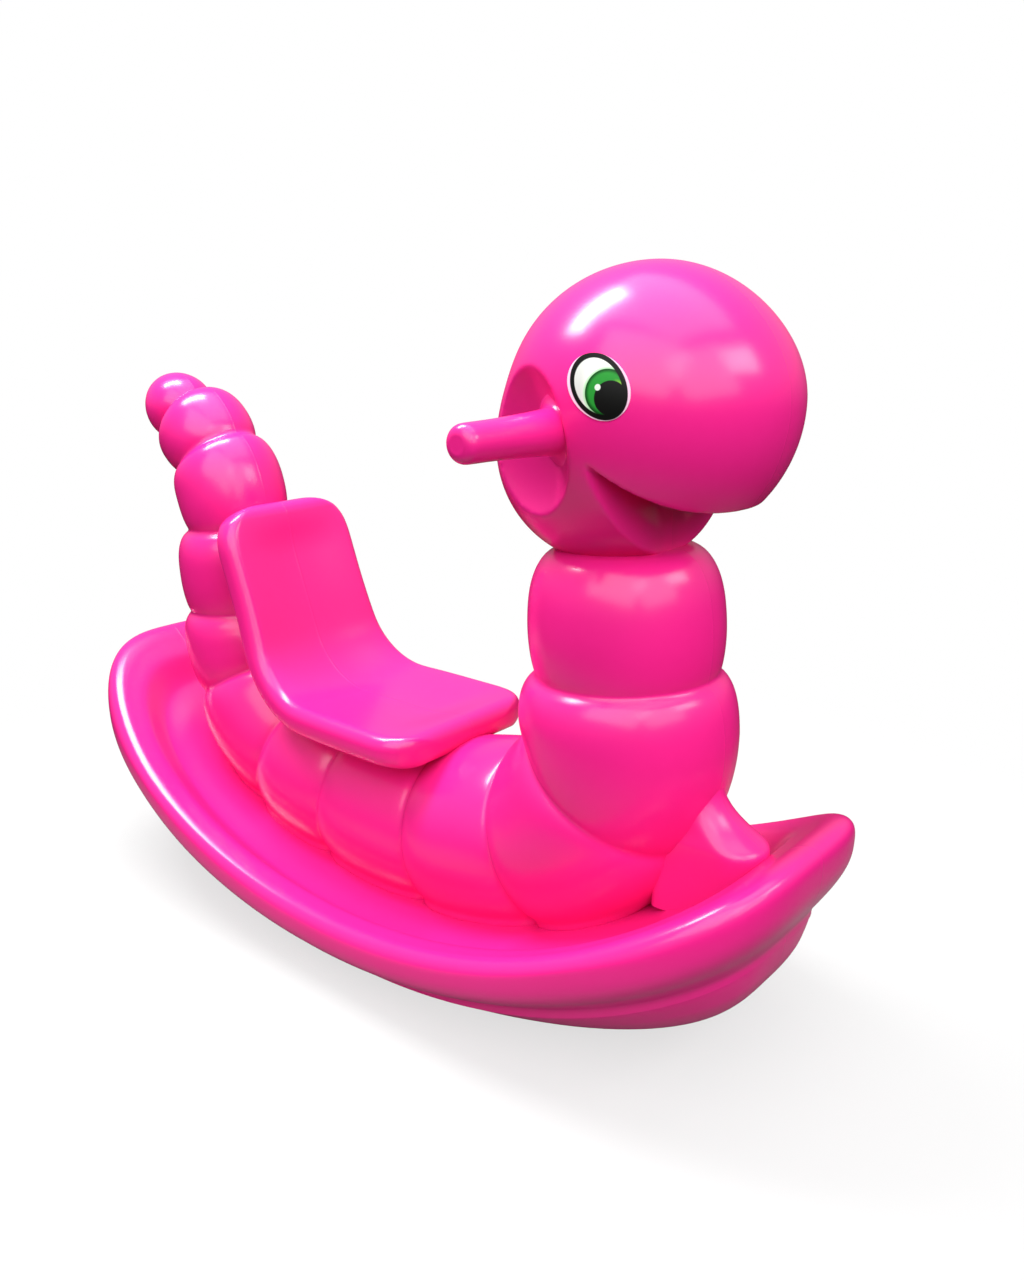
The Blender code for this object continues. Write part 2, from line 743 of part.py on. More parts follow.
def make_eye_label(name, side):
    """A thin oval label that lies on the curve of the cheek."""
    forward = math.radians(EYE_FORWARD_ANGLE)
    raise_angle = math.radians(EYE_RAISE_ANGLE)
    flat = math.cos(raise_angle)
    out = Vector((math.cos(forward) * flat, side * math.sin(forward) * flat, math.sin(raise_angle)))
    middle = head_centre() + out * HEAD_RADIUS
    ahead = Vector((math.sin(forward), -side * math.cos(forward), 0))
    up = out.cross(ahead) * -side
    lean = math.radians(EYE_LEAN)
    long_way = up * math.cos(lean) - ahead * math.sin(lean)
    wide_way = ahead * math.cos(lean) + up * math.sin(lean)
    origin = head_origin()
    bm = bmesh.new()
    faces = []
    for lift in (CLEARANCE, CLEARANCE + LABEL_THICKNESS):
        core = bm.verts.new(head_point((middle - origin).normalized(), lift))
        rows = []
        for share in (0.5, 1.0):
            row = []
            for step in range(EYE_STEPS):
                turn = 2 * math.pi * step / EYE_STEPS
                spot = middle + long_way * (EYE_LENGTH / 2 * share * math.cos(turn))
                spot = spot + wide_way * (EYE_WIDTH / 2 * share * math.sin(turn))
                row.append(bm.verts.new(head_point((spot - origin).normalized(), lift)))
            rows.append(row)
        faces.append((core, rows))
    for core, rows in faces:
        for i in range(EYE_STEPS):
            j = (i + 1) % EYE_STEPS
            bm.faces.new((core, rows[0][i], rows[0][j]))
            for first, second in zip(rows, rows[1:]):
                bm.faces.new((first[i], second[i], second[j], first[j]))
    under, over = faces[0][1][-1], faces[1][1][-1]
    for i in range(EYE_STEPS):
        j = (i + 1) % EYE_STEPS
        bm.faces.new((under[i], under[j], over[j], over[i]))
    return add_object(name, bm)


# Web in front of the neck


def make_brace():
    """A concave web that carries the front of the neck down onto the deck."""
    neck, _ = spine_at(neck_length() - UPPER_NECK_LENGTH - LOWER_NECK_LENGTH / 2)
    front = neck.x + LOWER_NECK_GIRTH
    back = front - 0.6 * LOWER_NECK_GIRTH
    floor = deck_floor(back) - VALLEY_DEPTH
    rings = []
    spans = 9
    for step in range(spans + 1):
        share = step / spans
        height = floor + (neck.z - floor) * share
        fade = (1 - share) ** 1.6
        reach = front + BRACE_REACH * fade
        half = BRACE_THICKNESS / 2 * (0.75 + 0.4 * fade)
        ring = [Vector((back, half, height)), Vector((back, -half, height))]
        for turn in (-90, -60, -30, 0, 30, 60, 90):
            angle = math.radians(turn)
            ring.append(Vector((reach - half + half * math.cos(angle), half * math.sin(angle), height)))
        rings.append(ring)
    return loft("front_brace", rings)


def build():
    """Makes every piece of the toy and seats it on its neighbours."""
    clear_scene()
    hull = make_rocker_hull()
    deck = make_foot_deck()
    beads = bead_list()
    deck_cutter = make_deck_cutter()
    seat_cutter = make_seat("seat_cutter", CLEARANCE)
    tip = make_tail_tip(beads[0])
    segments = {}
    for row in beads:
        segments[row[0]] = bead(*row)
    body = [f"body_segment_{number}" for number in range(1, 6)]
    for name in body + ["neck_lower"]:
        cut(segments[name], deck_cutter, "sits_on_deck")
    for name in ["tail_segment_2", "tail_segment_3", "tail_segment_4"] + body[:4]:
        cut(segments[name], seat_cutter, "carries_seat")
    seat = make_seat("seat")
    brace = make_brace()
    cut(brace, deck_cutter, "sits_on_deck")
    for row in beads:
        if row[0] in ("body_segment_5", "neck_lower"):
            grown = bead(row[0] + "_cutter", *row[1:], grow=CLEARANCE)
            cut(brace, grown, "meets_" + row[0])
    head = make_head()
    top, along = spine_at(neck_length())
    bm = bmesh.new()
    bmesh.ops.create_cube(bm, size=1.0)
    bmesh.ops.scale(bm, vec=(3 * HEAD_RADIUS, 3 * HEAD_RADIUS, HEAD_RADIUS), verts=bm.verts)
    bmesh.ops.translate(bm, vec=(0, 0, CLEARANCE / 2 - HEAD_RADIUS / 2), verts=bm.verts)
    lean = along.to_track_quat("Z", "Y").to_matrix()
    bmesh.ops.rotate(bm, cent=(0, 0, 0), matrix=lean, verts=bm.verts)
    bmesh.ops.translate(bm, vec=top, verts=bm.verts)
    cut(head, add_object("chin_cutter", bm), "sits_on_neck")
    cut(head, make_mouth_cutter(), "mouth")
    pieces = [hull, deck, tip, seat, brace, head] + list(segments.values())
    for side, word in ((-1, "right"), (1, "left")):
        cut(head, make_dish_cutter(side, f"dish_cutter_{word}"), f"dish_{word}")
        cut(head, make_seat_cutter_for_handle(side, f"spot_cutter_{word}"), f"handle_seat_{word}")
        pieces.append(make_handle(f"handle_{word}", side))
        label = make_eye_label(f"eye_label_{word}", side)
        paint(label, (0.93, 0.95, 0.90), 0.35)
        pieces.append(label)
    for piece in pieces:
        if not piece.data.materials:
            paint(piece)


build()
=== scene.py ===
"""Dressed model of a one-seat rocking toy in glossy pink moulded plastic, standing on a pale studio floor.

Every length is in metres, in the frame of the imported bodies: +X towards the head, +Z up, the origin on the
floor under the middle of the base.
"""

import logging
import math
from dataclasses import dataclass
from enum import Enum
from typing import Any, Callable, Sequence

import bpy
from mathutils import Matrix, Vector

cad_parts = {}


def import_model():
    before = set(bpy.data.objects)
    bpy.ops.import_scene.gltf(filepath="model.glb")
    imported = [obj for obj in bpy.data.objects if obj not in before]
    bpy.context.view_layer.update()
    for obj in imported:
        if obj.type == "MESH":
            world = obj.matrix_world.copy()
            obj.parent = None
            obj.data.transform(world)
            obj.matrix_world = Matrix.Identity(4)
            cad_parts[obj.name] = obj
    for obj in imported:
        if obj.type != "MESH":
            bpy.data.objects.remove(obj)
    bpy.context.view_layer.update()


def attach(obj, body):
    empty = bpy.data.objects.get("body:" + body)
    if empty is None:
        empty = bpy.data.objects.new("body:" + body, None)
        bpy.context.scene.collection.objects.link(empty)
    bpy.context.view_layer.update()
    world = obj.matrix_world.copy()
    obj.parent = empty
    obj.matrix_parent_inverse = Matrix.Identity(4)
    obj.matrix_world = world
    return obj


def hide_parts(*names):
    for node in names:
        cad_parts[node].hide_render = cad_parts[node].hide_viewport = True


LOG = logging.getLogger("rocking_toy")
BODY = "root"
MERGE_GAP = 1e-6
NO_SHARP_EDGE = 180.0

Object, Material = bpy.types.Object, bpy.types.Material
Place = Callable[[float, float], Vector]
Height = Callable[[float], float]
Triple = tuple[float, float, float]
Colour = tuple[float, float, float, float]
WHITE: Colour = (1.0, 1.0, 1.0, 1.0)


class Slot(Enum):
    """The record's material slots."""

    MOULDING = "moulding"
    EYE_PRINT = "eye_print"


class Side(Enum):
    """The two sides of the toy, with the sign of their y."""

    RIGHT = -1
    LEFT = 1

    @property
    def word(self) -> str:
        """The side's name as the CAD nodes write it."""
        return self.name.lower()


def clamp(value: float) -> float:
    """A value held between 0 and 1."""
    return min(max(value, 0.0), 1.0)


def ease(share: float) -> float:
    """A share from 0 to 1, with a soft start and a soft end."""
    return share * share * (3 - 2 * share)


def half_wave(share: float) -> float:
    """A share from 0 to 1, led along half a cosine wave."""
    return 0.5 - 0.5 * math.cos(math.pi * share)


def cheek_frame(turn: float, rise: float, side: int) -> tuple[Vector, Vector, Vector]:
    """Directions at a place on the head's ball.

    Args:
        turn: Degrees round from the front of the head.
        rise: Degrees above its middle.
        side: Sign of the place's y.

    Returns:
        The directions out of the head, ahead along the cheek and up it.
    """
    turn, rise = math.radians(turn), math.radians(rise)
    flat = math.cos(rise)
    out = Vector((math.cos(turn) * flat, side * math.sin(turn) * flat, math.sin(rise)))
    ahead = Vector((math.sin(turn), -side * math.cos(turn), 0))
    return out, ahead, out.cross(ahead) * -side


# Modelling bench


class Bench:
    """Blender's modelling operators, each applied to one object at a time."""

    @staticmethod
    def take(piece: Object) -> None:
        """Deselects everything and makes one object the selected and active one.

        Args:
            piece: The object to work on.
        """
        bpy.ops.object.select_all(action="DESELECT")
        piece.select_set(True)
        bpy.context.view_layer.objects.active = piece

    @staticmethod
    def modify(piece: Object, kind: str, **settings: Any) -> None:
        """Adds a modifier and applies it.

        Args:
            piece: The object to change.
            kind: Blender's name for the modifier type.
            **settings: The modifier's settings.
        """
        modifier = piece.modifiers.new(kind.lower(), kind)
        for key, value in settings.items():
            setattr(modifier, key, value)
        Bench.take(piece)
        bpy.ops.object.modifier_apply(modifier=modifier.name)

    @staticmethod
    def edit(piece: Object) -> None:
        """Enters edit mode on an object with all of its mesh selected.

        Args:
            piece: The object to edit.
        """
        Bench.take(piece)
        bpy.ops.object.mode_set(mode="EDIT")
        bpy.ops.mesh.select_all(action="SELECT")

    @staticmethod
    def leave_edit() -> None:
        """Goes back to object mode."""
        bpy.ops.object.mode_set(mode="OBJECT")

    @staticmethod
    def add(primitive: Callable[..., Any], name: str, **settings: Any) -> Object:
        """Adds a primitive at the origin, with nothing else selected.

        Args:
            primitive: Blender's operator for the primitive.
            name: Name of the new object and its mesh.
            **settings: The operator's settings.

        Returns:
            The new object.
        """
        bpy.ops.object.select_all(action="DESELECT")
        primitive(location=(0, 0, 0), **settings)
        piece = bpy.context.active_object
        piece.name = name
        piece.data.name = name
        return piece

    @staticmethod
    def rolled_skin(name: str, columns: int, rows: int, place: Place, levels: int = 0) -> Object:
        """Rolls a flat grid up into a tube, subdivides it until it is smooth and closes both of its ends.

        Args:
            name: Name of the new object.
            columns: Faces round the skin.
            rows: Faces along it.
            place: Gives a point from the share round the skin and the share along it, each from 0 to 1.
            levels: How often the tube is subdivided.

        Returns:
            The new object, at the origin, with its faces outward.
        """
        grid = bpy.ops.mesh.primitive_grid_add
        piece = Bench.add(grid, name, x_subdivisions=columns, y_subdivisions=rows, size=1.0)
        for vertex in piece.data.vertices:
            column = round((vertex.co.x + 0.5) * columns) % columns
            row = round((vertex.co.y + 0.5) * rows)
            vertex.co = place(column / columns, row / rows)
        Bench.edit(piece)
        bpy.ops.mesh.remove_doubles(threshold=MERGE_GAP)
        if levels:
            Bench.leave_edit()
            Bench.modify(piece, "SUBSURF", levels=levels, render_levels=levels)
            Bench.edit(piece)
        bpy.ops.mesh.select_all(action="SELECT")
        bpy.ops.mesh.fill_holes(sides=0)
        bpy.ops.mesh.normals_make_consistent(inside=False)
        Bench.leave_edit()
        return piece

    @staticmethod
    def finish(piece: Object, material: Material, sharp: float = 60.0) -> Object:
        """Shades a piece smooth and gives it its one material.

        Args:
            piece: The object to finish.
            material: Its material.
            sharp: Angle in degrees above which an edge stays sharp.

        Returns:
            The same object.
        """
        Bench.take(piece)
        bpy.ops.object.shade_smooth_by_angle(angle=math.radians(sharp))
        piece.data.materials.clear()
        piece.data.materials.append(material)
        return piece


# Shader arithmetic


class Socket:
    """One output of a shader node, with Python's own arithmetic on it."""

    def __init__(self, tree: bpy.types.NodeTree, out: bpy.types.NodeSocket) -> None:
        """Wraps an output.

        Args:
            tree: The node tree that holds the output.
            out: The output itself.
        """
        self.tree = tree
        self.out = out

    @staticmethod
    def put(value: Any, target: bpy.types.NodeSocket) -> None:
        """Links a socket into a node's input, or sets that input to a plain value.

        Args:
            value: A socket or a plain value.
            target: The input.
        """
        if isinstance(value, Socket):
            value.tree.links.new(value.out, target)
        else:
            target.default_value = value

    def math(self, operation: str, *others: Any, first: Any = None) -> "Socket":
        """Adds a Math node.

        Args:
            operation: Blender's name for the operation.
            *others: The inputs behind this socket, sockets or numbers.
            first: A number that goes in before this socket.

        Returns:
            The node's output.
        """
        node = self.tree.nodes.new("ShaderNodeMath")
        node.operation = operation
        for index, value in enumerate((self, *others) if first is None else (first, self)):
            Socket.put(value, node.inputs[index])
        return Socket(self.tree, node.outputs[0])

    def __add__(self, other: Any) -> "Socket":
        """Sum."""
        return self.math("ADD", other)

    def __radd__(self, other: float) -> "Socket":
        """Sum with the number first."""
        return self.math("ADD", first=other)

    def __sub__(self, other: Any) -> "Socket":
        """Difference."""
        return self.math("SUBTRACT", other)

    def __rsub__(self, other: float) -> "Socket":
        """Difference from a number."""
        return self.math("SUBTRACT", first=other)

    def __mul__(self, other: Any) -> "Socket":
        """Product."""
        return self.math("MULTIPLY", other)

    def __rmul__(self, other: float) -> "Socket":
        """Product with the number first."""
        return self.math("MULTIPLY", first=other)

    def __truediv__(self, other: Any) -> "Socket":
        """Quotient."""
        return self.math("DIVIDE", other)

    def __pow__(self, other: Any) -> "Socket":
        """Power."""
        return self.math("POWER", other)

    def __abs__(self) -> "Socket":
        """Absolute value."""
        return self.math("ABSOLUTE")

    def smooth(self, start: float, end: float) -> "Socket":
        """A smooth step.

        Args:
            start: Value at which the step is 0.
            end: Value at which it is 1. It may be below start.

        Returns:
            The step's output.
        """
        share = ((self - start) / (end - start)).math("MAXIMUM", 0.0).math("MINIMUM", 1.0)
        return share * share * (3.0 - 2.0 * share)


class Shading:
    """The node tree of one procedural material."""

    def __init__(self, name: str) -> None:
        """Starts a material with its Principled shader.

        Args:
            name: Name of the material.
        """
        self.material = bpy.data.materials.new(name)
        self.material.use_nodes = True
        self.tree = self.material.node_tree
        self.shader = self.tree.nodes["Principled BSDF"]

    def node(self, kind: str, settings: dict[str, Any], values: dict[Any, Any]) -> bpy.types.Node:
        """Adds any node.

        Args:
            kind: Blender's name for the node type.
            settings: The node's settings, which are set first.
            values: What goes into its inputs, by name or number, as sockets or plain values.

        Returns:
            The new node.
        """
        node = self.tree.nodes.new(kind)
        for key, value in settings.items():
            setattr(node, key, value)
        for key, value in values.items():
            Socket.put(value, node.inputs[key])
        return node

    def coordinates(self) -> Socket:
        """The object's own coordinates."""
        return Socket(self.tree, self.node("ShaderNodeTexCoord", {}, {}).outputs["Object"])

    def axes(self, vector: Socket) -> tuple[Socket, ...]:
        """The x, y and z of a vector."""
        split = self.node("ShaderNodeSeparateXYZ", {}, {"Vector": vector})
        return tuple(Socket(self.tree, out) for out in split.outputs)

    def noise(self, where: Socket, scale: float, detail: float, roughness: float = 0.5) -> Socket:
        """Noise around 0.5.

        Args:
            where: The coordinates to read it at.
            scale: Cells per metre.
            detail: Octaves above the first.
            roughness: Share that each octave keeps.

        Returns:
            The noise value.
        """
        values = {"Vector": where, "Scale": scale, "Detail": detail, "Roughness": roughness}
        return Socket(self.tree, self.node("ShaderNodeTexNoise", {}, values).outputs["Fac"])

    def blend(self, share: Socket, first: Any, second: Any) -> Socket:
        """Mixes two colours.

        Args:
            share: How much of the second there is.
            first: A colour as four numbers, or a socket.
            second: A colour as four numbers, or a socket.

        Returns:
            The mixed colour.
        """
        colour_inputs = {0: share, 6: first, 7: second}
        node = self.node("ShaderNodeMix", {"data_type": "RGBA"}, colour_inputs)
        return Socket(self.tree, node.outputs[2])

    def bump(self, height: Socket, distance: float) -> None:
        """Leads a height into the shader's normal.

        Args:
            height: The height, where 1 stands for the distance.
            distance: Height in metres.
        """
        values = {"Height": height, "Distance": distance, "Strength": 1.0}
        node = self.node("ShaderNodeBump", {}, values)
        self.tree.links.new(node.outputs["Normal"], self.shader.inputs["Normal"])

    def feed(self, **values: Any) -> None:
        """Sets or links the shader's inputs.

        Args:
            **values: Input names, with underscores for spaces, and what goes into them.
        """
        for key, value in values.items():
            Socket.put(value, self.shader.inputs[key.replace("_", " ")])


def colour(red: int, green: int, blue: int) -> Colour:
    """A colour as seen on screen, as the linear values that a shader takes.

    Args:
        red: Red from 0 to 255.
        green: Green from 0 to 255.
        blue: Blue from 0 to 255.

    Returns:
        The linear colour with full alpha.
    """
    parts = []
    for value in (red, green, blue):
        share = value / 255
        parts.append(share / 12.92 if share <= 0.04045 else ((share + 0.055) / 1.055) ** 2.4)
    return (*parts, 1.0)


@dataclass(frozen=True)
class MouldedPlastic:
    """Glossy pigmented plastic from a rotational mould, with its parting line, faint mottling and wear.

    Each noise gives its cells per metre, its octaves above the first and, if not 0.5, its roughness.
    """

    pigment: Colour = colour(240, 37, 140)
    deep_pigment: Colour = colour(235, 29, 131)
    scuffed_pigment: Colour = colour(255, 150, 200)
    refraction: float = 1.5
    gloss_roughness: float = 0.215
    mottle_roughness: float = 0.05
    wear_roughness: float = 0.02
    mottle_noise: tuple[float, ...] = (9.0, 3.0)
    grain_noise: tuple[float, ...] = (120.0, 2.0)
    grain_share: float = 0.25
    peel_noise: tuple[float, ...] = (260.0, 0.0)
    peel_share: float = 0.2
    wave_noise: tuple[float, ...] = (45.0, 0.0)
    wave_share: float = 0.35
    peel_height: float = 0.00005
    parting_width: float = 0.0011
    parting_height: float = 0.00016
    scuff_height: float = 0.050
    scuff_noise: tuple[float, ...] = (55.0, 4.0, 0.7)
    scuff_range: tuple[float, float] = (0.52, 0.70)
    scuff_share: float = 0.16

    def build(self) -> Material:
        """Makes the material.

        Returns:
            The finished material.
        """
        shading = Shading("moulded_plastic")
        where = shading.coordinates()
        _, across, up = shading.axes(where)
        mottle = shading.noise(where, *self.mottle_noise)
        grain = shading.noise(where, *self.grain_noise)
        share = mottle * (1 - self.grain_share) + grain * self.grain_share
        tint = shading.blend(share, self.pigment, self.deep_pigment)
        patches = shading.noise(where, *self.scuff_noise).smooth(*self.scuff_range)
        scuff = up.smooth(self.scuff_height, 0.0) * patches
        tint = shading.blend(scuff * self.scuff_share, tint, self.scuffed_pigment)
        seam = (0.0 - (across / self.parting_width) ** 2.0).math("EXPONENT")
        peel = shading.noise(where, *self.peel_noise) * self.peel_share
        peel = peel + shading.noise(where, *self.wave_noise) * self.wave_share
        shading.bump(peel + seam * (self.parting_height / self.peel_height), self.peel_height)
        rough = self.gloss_roughness + mottle * self.mottle_roughness + (seam + scuff) * self.wear_roughness
        shading.feed(Base_Color=tint, Roughness=rough, Metallic=0.0, IOR=self.refraction)
        return shading.material


@dataclass(frozen=True)
class EyePrint:
    """The printed eye: a white oval in a black line, with a green iris, a black pupil and a small light dot.

    Each circle gives how far its middle lies ahead of the oval's and below it, and its radius.
    """

    centre: Triple
    ahead: Triple
    upward: Triple
    lean: float
    long_half: float = 0.0244
    wide_half: float = 0.0181
    line: float = 0.0031
    iris: Triple = (0.0065, 0.0038, 0.0151)
    pupil: Triple = (0.0095, 0.0074, 0.0112)
    dot: Triple = (0.0003, 0.0010, 0.0021)
    edge: float = 0.00025
    halo: tuple[float, float] = (0.0021, 0.0004)
    iris_rim: tuple[float, float] = (-0.0032, -0.0006)
    lime_rim: float = 0.0022
    lime_ahead: tuple[float, float] = (0.010, 0.018)
    shade_behind: tuple[float, float] = (-0.004, -0.014)
    ink: Colour = colour(9, 10, 9)
    white: Colour = colour(232, 236, 226)
    shaded_white: Colour = colour(204, 209, 203)
    halo_green: Colour = colour(176, 224, 176)
    green: Colour = colour(36, 142, 48)
    deep_green: Colour = colour(8, 74, 22)
    lime: Colour = colour(150, 205, 70)
    dot_white: Colour = colour(214, 226, 216)
    border: Colour = colour(238, 196, 220)
    print_roughness: float = 0.34
    fibre_roughness: float = 0.08
    fibre_noise: tuple[float, ...] = (900.0, 1.0)
    fibre_height: float = 0.00001
    refraction: float = 1.25

    def build(self) -> Material:
        """Makes the material, whose print is the same on both sides of the head.

        Returns:
            The finished material.
        """
        shading = Shading("eye_print")
        where = shading.coordinates()
        x, y, z = shading.axes(where)
        off = (x - self.centre[0], abs(y) - self.centre[1], z - self.centre[2])
        ways = (self.ahead, self.upward)
        along, rise = (off[0] * way[0] + off[1] * way[1] + off[2] * way[2] for way in ways)
        turn = math.radians(self.lean)
        long_way = rise * math.cos(turn) - along * math.sin(turn)
        wide_way = along * math.cos(turn) + rise * math.sin(turn)
        oval = ((long_way / self.long_half) ** 2.0 + (wide_way / self.wide_half) ** 2.0) ** 0.5
        circles = (self.iris, self.pupil, self.dot)
        iris, pupil, dot = (self.outside(along, rise, *circle) for circle in circles)
        edge, soft = self.edge, self.edge / self.wide_half
        inner = 1.0 - self.line / self.wide_half
        green = shading.blend(iris.smooth(*self.iris_rim), self.green, self.deep_green)
        lime = pupil.smooth(self.lime_rim, 0.0) * along.smooth(*self.lime_ahead)
        printed = shading.blend(along.smooth(*self.shade_behind), self.white, self.shaded_white)
        layers = (
            (iris.smooth(*self.halo), self.halo_green),
            (iris.smooth(edge, -edge), shading.blend(lime, green, self.lime)),
            (pupil.smooth(edge, -edge), self.ink),
            (dot.smooth(edge, -edge), self.dot_white),
            (oval.smooth(inner - soft, inner + soft), self.ink),
            (oval.smooth(1.0 - soft, 1.0 + soft), self.border),
        )
        for mask, layer in layers:
            printed = shading.blend(mask, printed, layer)
        fibre = shading.noise(where, *self.fibre_noise)
        rough = self.print_roughness + fibre * self.fibre_roughness
        shading.feed(Base_Color=printed, Roughness=rough, Metallic=0.0, IOR=self.refraction)
        shading.bump(fibre, self.fibre_height)
        return shading.material

    @staticmethod
    def outside(along: Socket, rise: Socket, ahead: float, drop: float, radius: float) -> Socket:
        """How far a place lies outside a printed circle.

        Args:
            along: Place towards the face.
            rise: Place upwards.
            ahead: How far the circle's middle lies towards the face.
            drop: How far it lies below the oval's middle.
            radius: The circle's radius.

        Returns:
            The distance in metres, negative inside the circle.
        """
        return ((along - ahead) ** 2.0 + (rise + drop) ** 2.0) ** 0.5 - radius


# Rocker base


@dataclass(frozen=True)
class RockerBase:
    """The boat-shaped base: a tray for the feet with a rolled rim, over a narrower hull that rocks.

    A triple of insets or drafts is for the sides, the front and the back of the plan outline.
    """

    length: float = 0.8352
    width: float = 0.320
    low_x: float = 0.0135
    squareness: float = 3.2
    bow_squareness: float = 3.7
    corner_shift: float = 0.20
    crest: float = 0.071
    crest_arc: float = 0.632
    bow_lift: float = 0.004
    bow_lift_run: tuple[float, float] = (0.20, 0.18)
    roll: float = 0.0125
    end_roll: float = 0.026
    end_roll_run: tuple[float, float] = (0.26, 0.13)
    end_broadening: float = 1.3
    wall_drop: float = 0.059
    wall_arc: float = 0.722
    wall_drafts: Triple = (0.034, 0.024, 0.036)
    wall_swell: float = 2.2
    edge_round: float = 0.006
    valley_depth: float = 0.0185
    valley_inset: float = 0.050
    plinth_inset: float = 0.082
    plinth_rise: float = 0.0025
    middle_insets: tuple[float, float] = (0.155, 0.120)
    keel_arc: float = 0.790
    keel_flat: float = 0.130
    hull_insets: Triple = (0.0345, 0.0245, 0.0365)
    hull_drafts: Triple = (0.032, 0.006, 0.006)
    hull_rounds: Triple = (0.038, 0.080, 0.080)
    columns: int = 144

    def arc(self, radius: float, x: float) -> float:
        """Rise of an upturned arc at x above its low point.

        Args:
            radius: The arc's radius.
            x: Place along the toy.

        Returns:
            The rise.
        """
        along = x - self.low_x
        return radius - math.sqrt(max(radius * radius - along * along, 0.0))

    def crest_at(self, x: float) -> float:
        """Height of the rim's crest at x."""
        start, run = self.bow_lift_run
        return self.crest + self.arc(self.crest_arc, x) + self.bow_lift * clamp((x - start) / run) ** 2

    def roll_at(self, x: float) -> float:
        """Height of the rim's roll at x, taller at the bow and the stern."""
        start, run = self.end_roll_run
        return self.roll + (self.end_roll - self.roll) * ease(clamp((abs(x - self.low_x) - start) / run))

    def floor_at(self, x: float) -> float:
        """Height of the deck under the body at x."""
        return self.crest_at(x) - self.valley_depth + self.plinth_rise

    def under_at(self, x: float) -> float:
        """Height of the tray's underside at x."""
        return self.crest - self.wall_drop + self.arc(self.wall_arc, x)

    def keel_at(self, x: float) -> float:
        """Height of the keel at x, flat where the toy settles."""
        beyond = max(abs(x - self.low_x) - self.keel_flat / 2, 0.0)
        return self.arc(self.keel_arc, self.low_x + beyond)

    def plan(self, share: float, side: float, front: float, back: float) -> tuple[float, float]:
        """A point of the plan outline.

        Args:
            share: Share of the way round, from 0 to 1.
            side: How far the outline is drawn in at its sides.
            front: How far it is drawn in at the front.
            back: How far it is drawn in at the back.

        Returns:
            The point's x and y.
        """
        turn = 2 * math.pi * (share + 0.5 / self.columns)
        turn -= self.corner_shift * math.sin(4 * turn)
        c, s = math.cos(turn), math.sin(turn)
        power = 2.0 / (self.bow_squareness if c > 0 else self.squareness)
        reach = self.length / 2 - (front if c > 0 else back)
        x = reach * math.copysign(abs(c) ** power, c)
        return x, (self.width / 2 - side) * math.copysign(abs(s) ** power, s)

    def skin(self, name: str, stations: Sequence[tuple[Sequence[float], Height]]) -> Object:
        """A skin whose stations are carried round the plan outline, then subdivided until it is smooth.

        Args:
            name: Name of the new object.
            stations: For each line round the skin, its three insets and its height at x.

        Returns:
            The new object.
        """
        rows = len(stations) - 1

        def place(around: float, along: float) -> Vector:
            """A point of the skin.

            Args:
                around: Share of the way round the outline.
                along: Share of the way through the stations.

            Returns:
                The point.
            """
            insets, height = stations[round(along * rows)]
            x, y = self.plan(around, *insets)
            return Vector((x, y, height(x)))

        return Bench.rolled_skin(name, self.columns, rows, place, levels=2)

    def tray(self, plastic: Material) -> Object:
        """Makes the tray for the feet with its rolled rim.

        Args:
            plastic: Its material.

        Returns:
            The new object.
        """
        roll, end = self.roll, self.end_roll

        def even(inset: float) -> Triple:
            """The same inset at both sides, and more at the ends, where the rim is broader."""
            at_end = inset + self.end_broadening * (end - roll)
            return inset, at_end, at_end

        def below_crest(depth: float) -> Height:
            """A height rule a given depth below the crest."""
            return lambda x: self.crest_at(x) - depth

        # From the middle of the deck, down the plinth under the body, to the valley beside it.
        insets = (*self.middle_insets, self.plinth_inset + 0.006)
        stations = [(even(inset), self.floor_at) for inset in insets]
        edge, foot = self.plinth_inset, self.valley_inset
        for inset, risen in ((edge, 0.76), (edge - 0.010, 0.72), (foot + 0.008, 0.06)):
            stations.append((even(inset), below_crest(self.valley_depth - risen * self.plinth_rise)))
        # Up the inner side, over the rolled rim, down the outer wall and round its lower edge.
        for share in (0.0, 0.12, 0.30, 0.50, 0.70, 0.86):
            inset = self.valley_inset + (2 * roll - self.valley_inset) * share
            stations.append((even(inset), below_crest(self.valley_depth * (1 - half_wave(share)))))
        for turn in (106, 90, 66, 42, 18, 0):
            angle = math.radians(turn)
            out, sink = 1 - math.cos(angle), 1 - math.sin(angle)
            insets = (roll * out, end * out, end * out)
            stations.append((insets, lambda x, sink=sink: self.crest_at(x) - self.roll_at(x) * sink))
        for share in (0.12, 0.26, 0.42, 0.58, 0.72, 0.84, 0.93, 0.98):
            insets = [draft * ease(share**self.wall_swell) for draft in self.wall_drafts]
            stations.append((insets, self.wall(share)))
        for inward, raised in ((0.0, 0.1), (0.02, 0.0), (0.06, 0.0), (0.5, 0.0)):
            insets = [draft + inward * self.edge_round for draft in self.wall_drafts]
            stations.append((insets, lambda x, up=raised * self.edge_round: self.under_at(x) + up))
        for inset in (0.070, *reversed(self.middle_insets)):
            stations.append((even(inset), self.under_at))
        return Bench.finish(self.skin("foot_tray", stations), plastic)

    def wall(self, share: float) -> Height:
        """A height rule on the tray's outer wall.

        Args:
            share: Share of the way down from the widest line to the lower edge.

        Returns:
            The height as a function of x.
        """

        def height(x: float) -> float:
            """Height of the wall at x."""
            top = self.crest_at(x) - self.roll_at(x)
            return top + (self.under_at(x) + self.edge_round - top) * share

        return height

    def hull(self, plastic: Material) -> Object:
        """Makes the hull under the tray, down to the keel.

        Args:
            plastic: Its material.

        Returns:
            The new object.
        """

        def top(x: float) -> float:
            """Height of the hull's top at x, hidden inside the tray."""
            return self.under_at(x) + self.edge_round

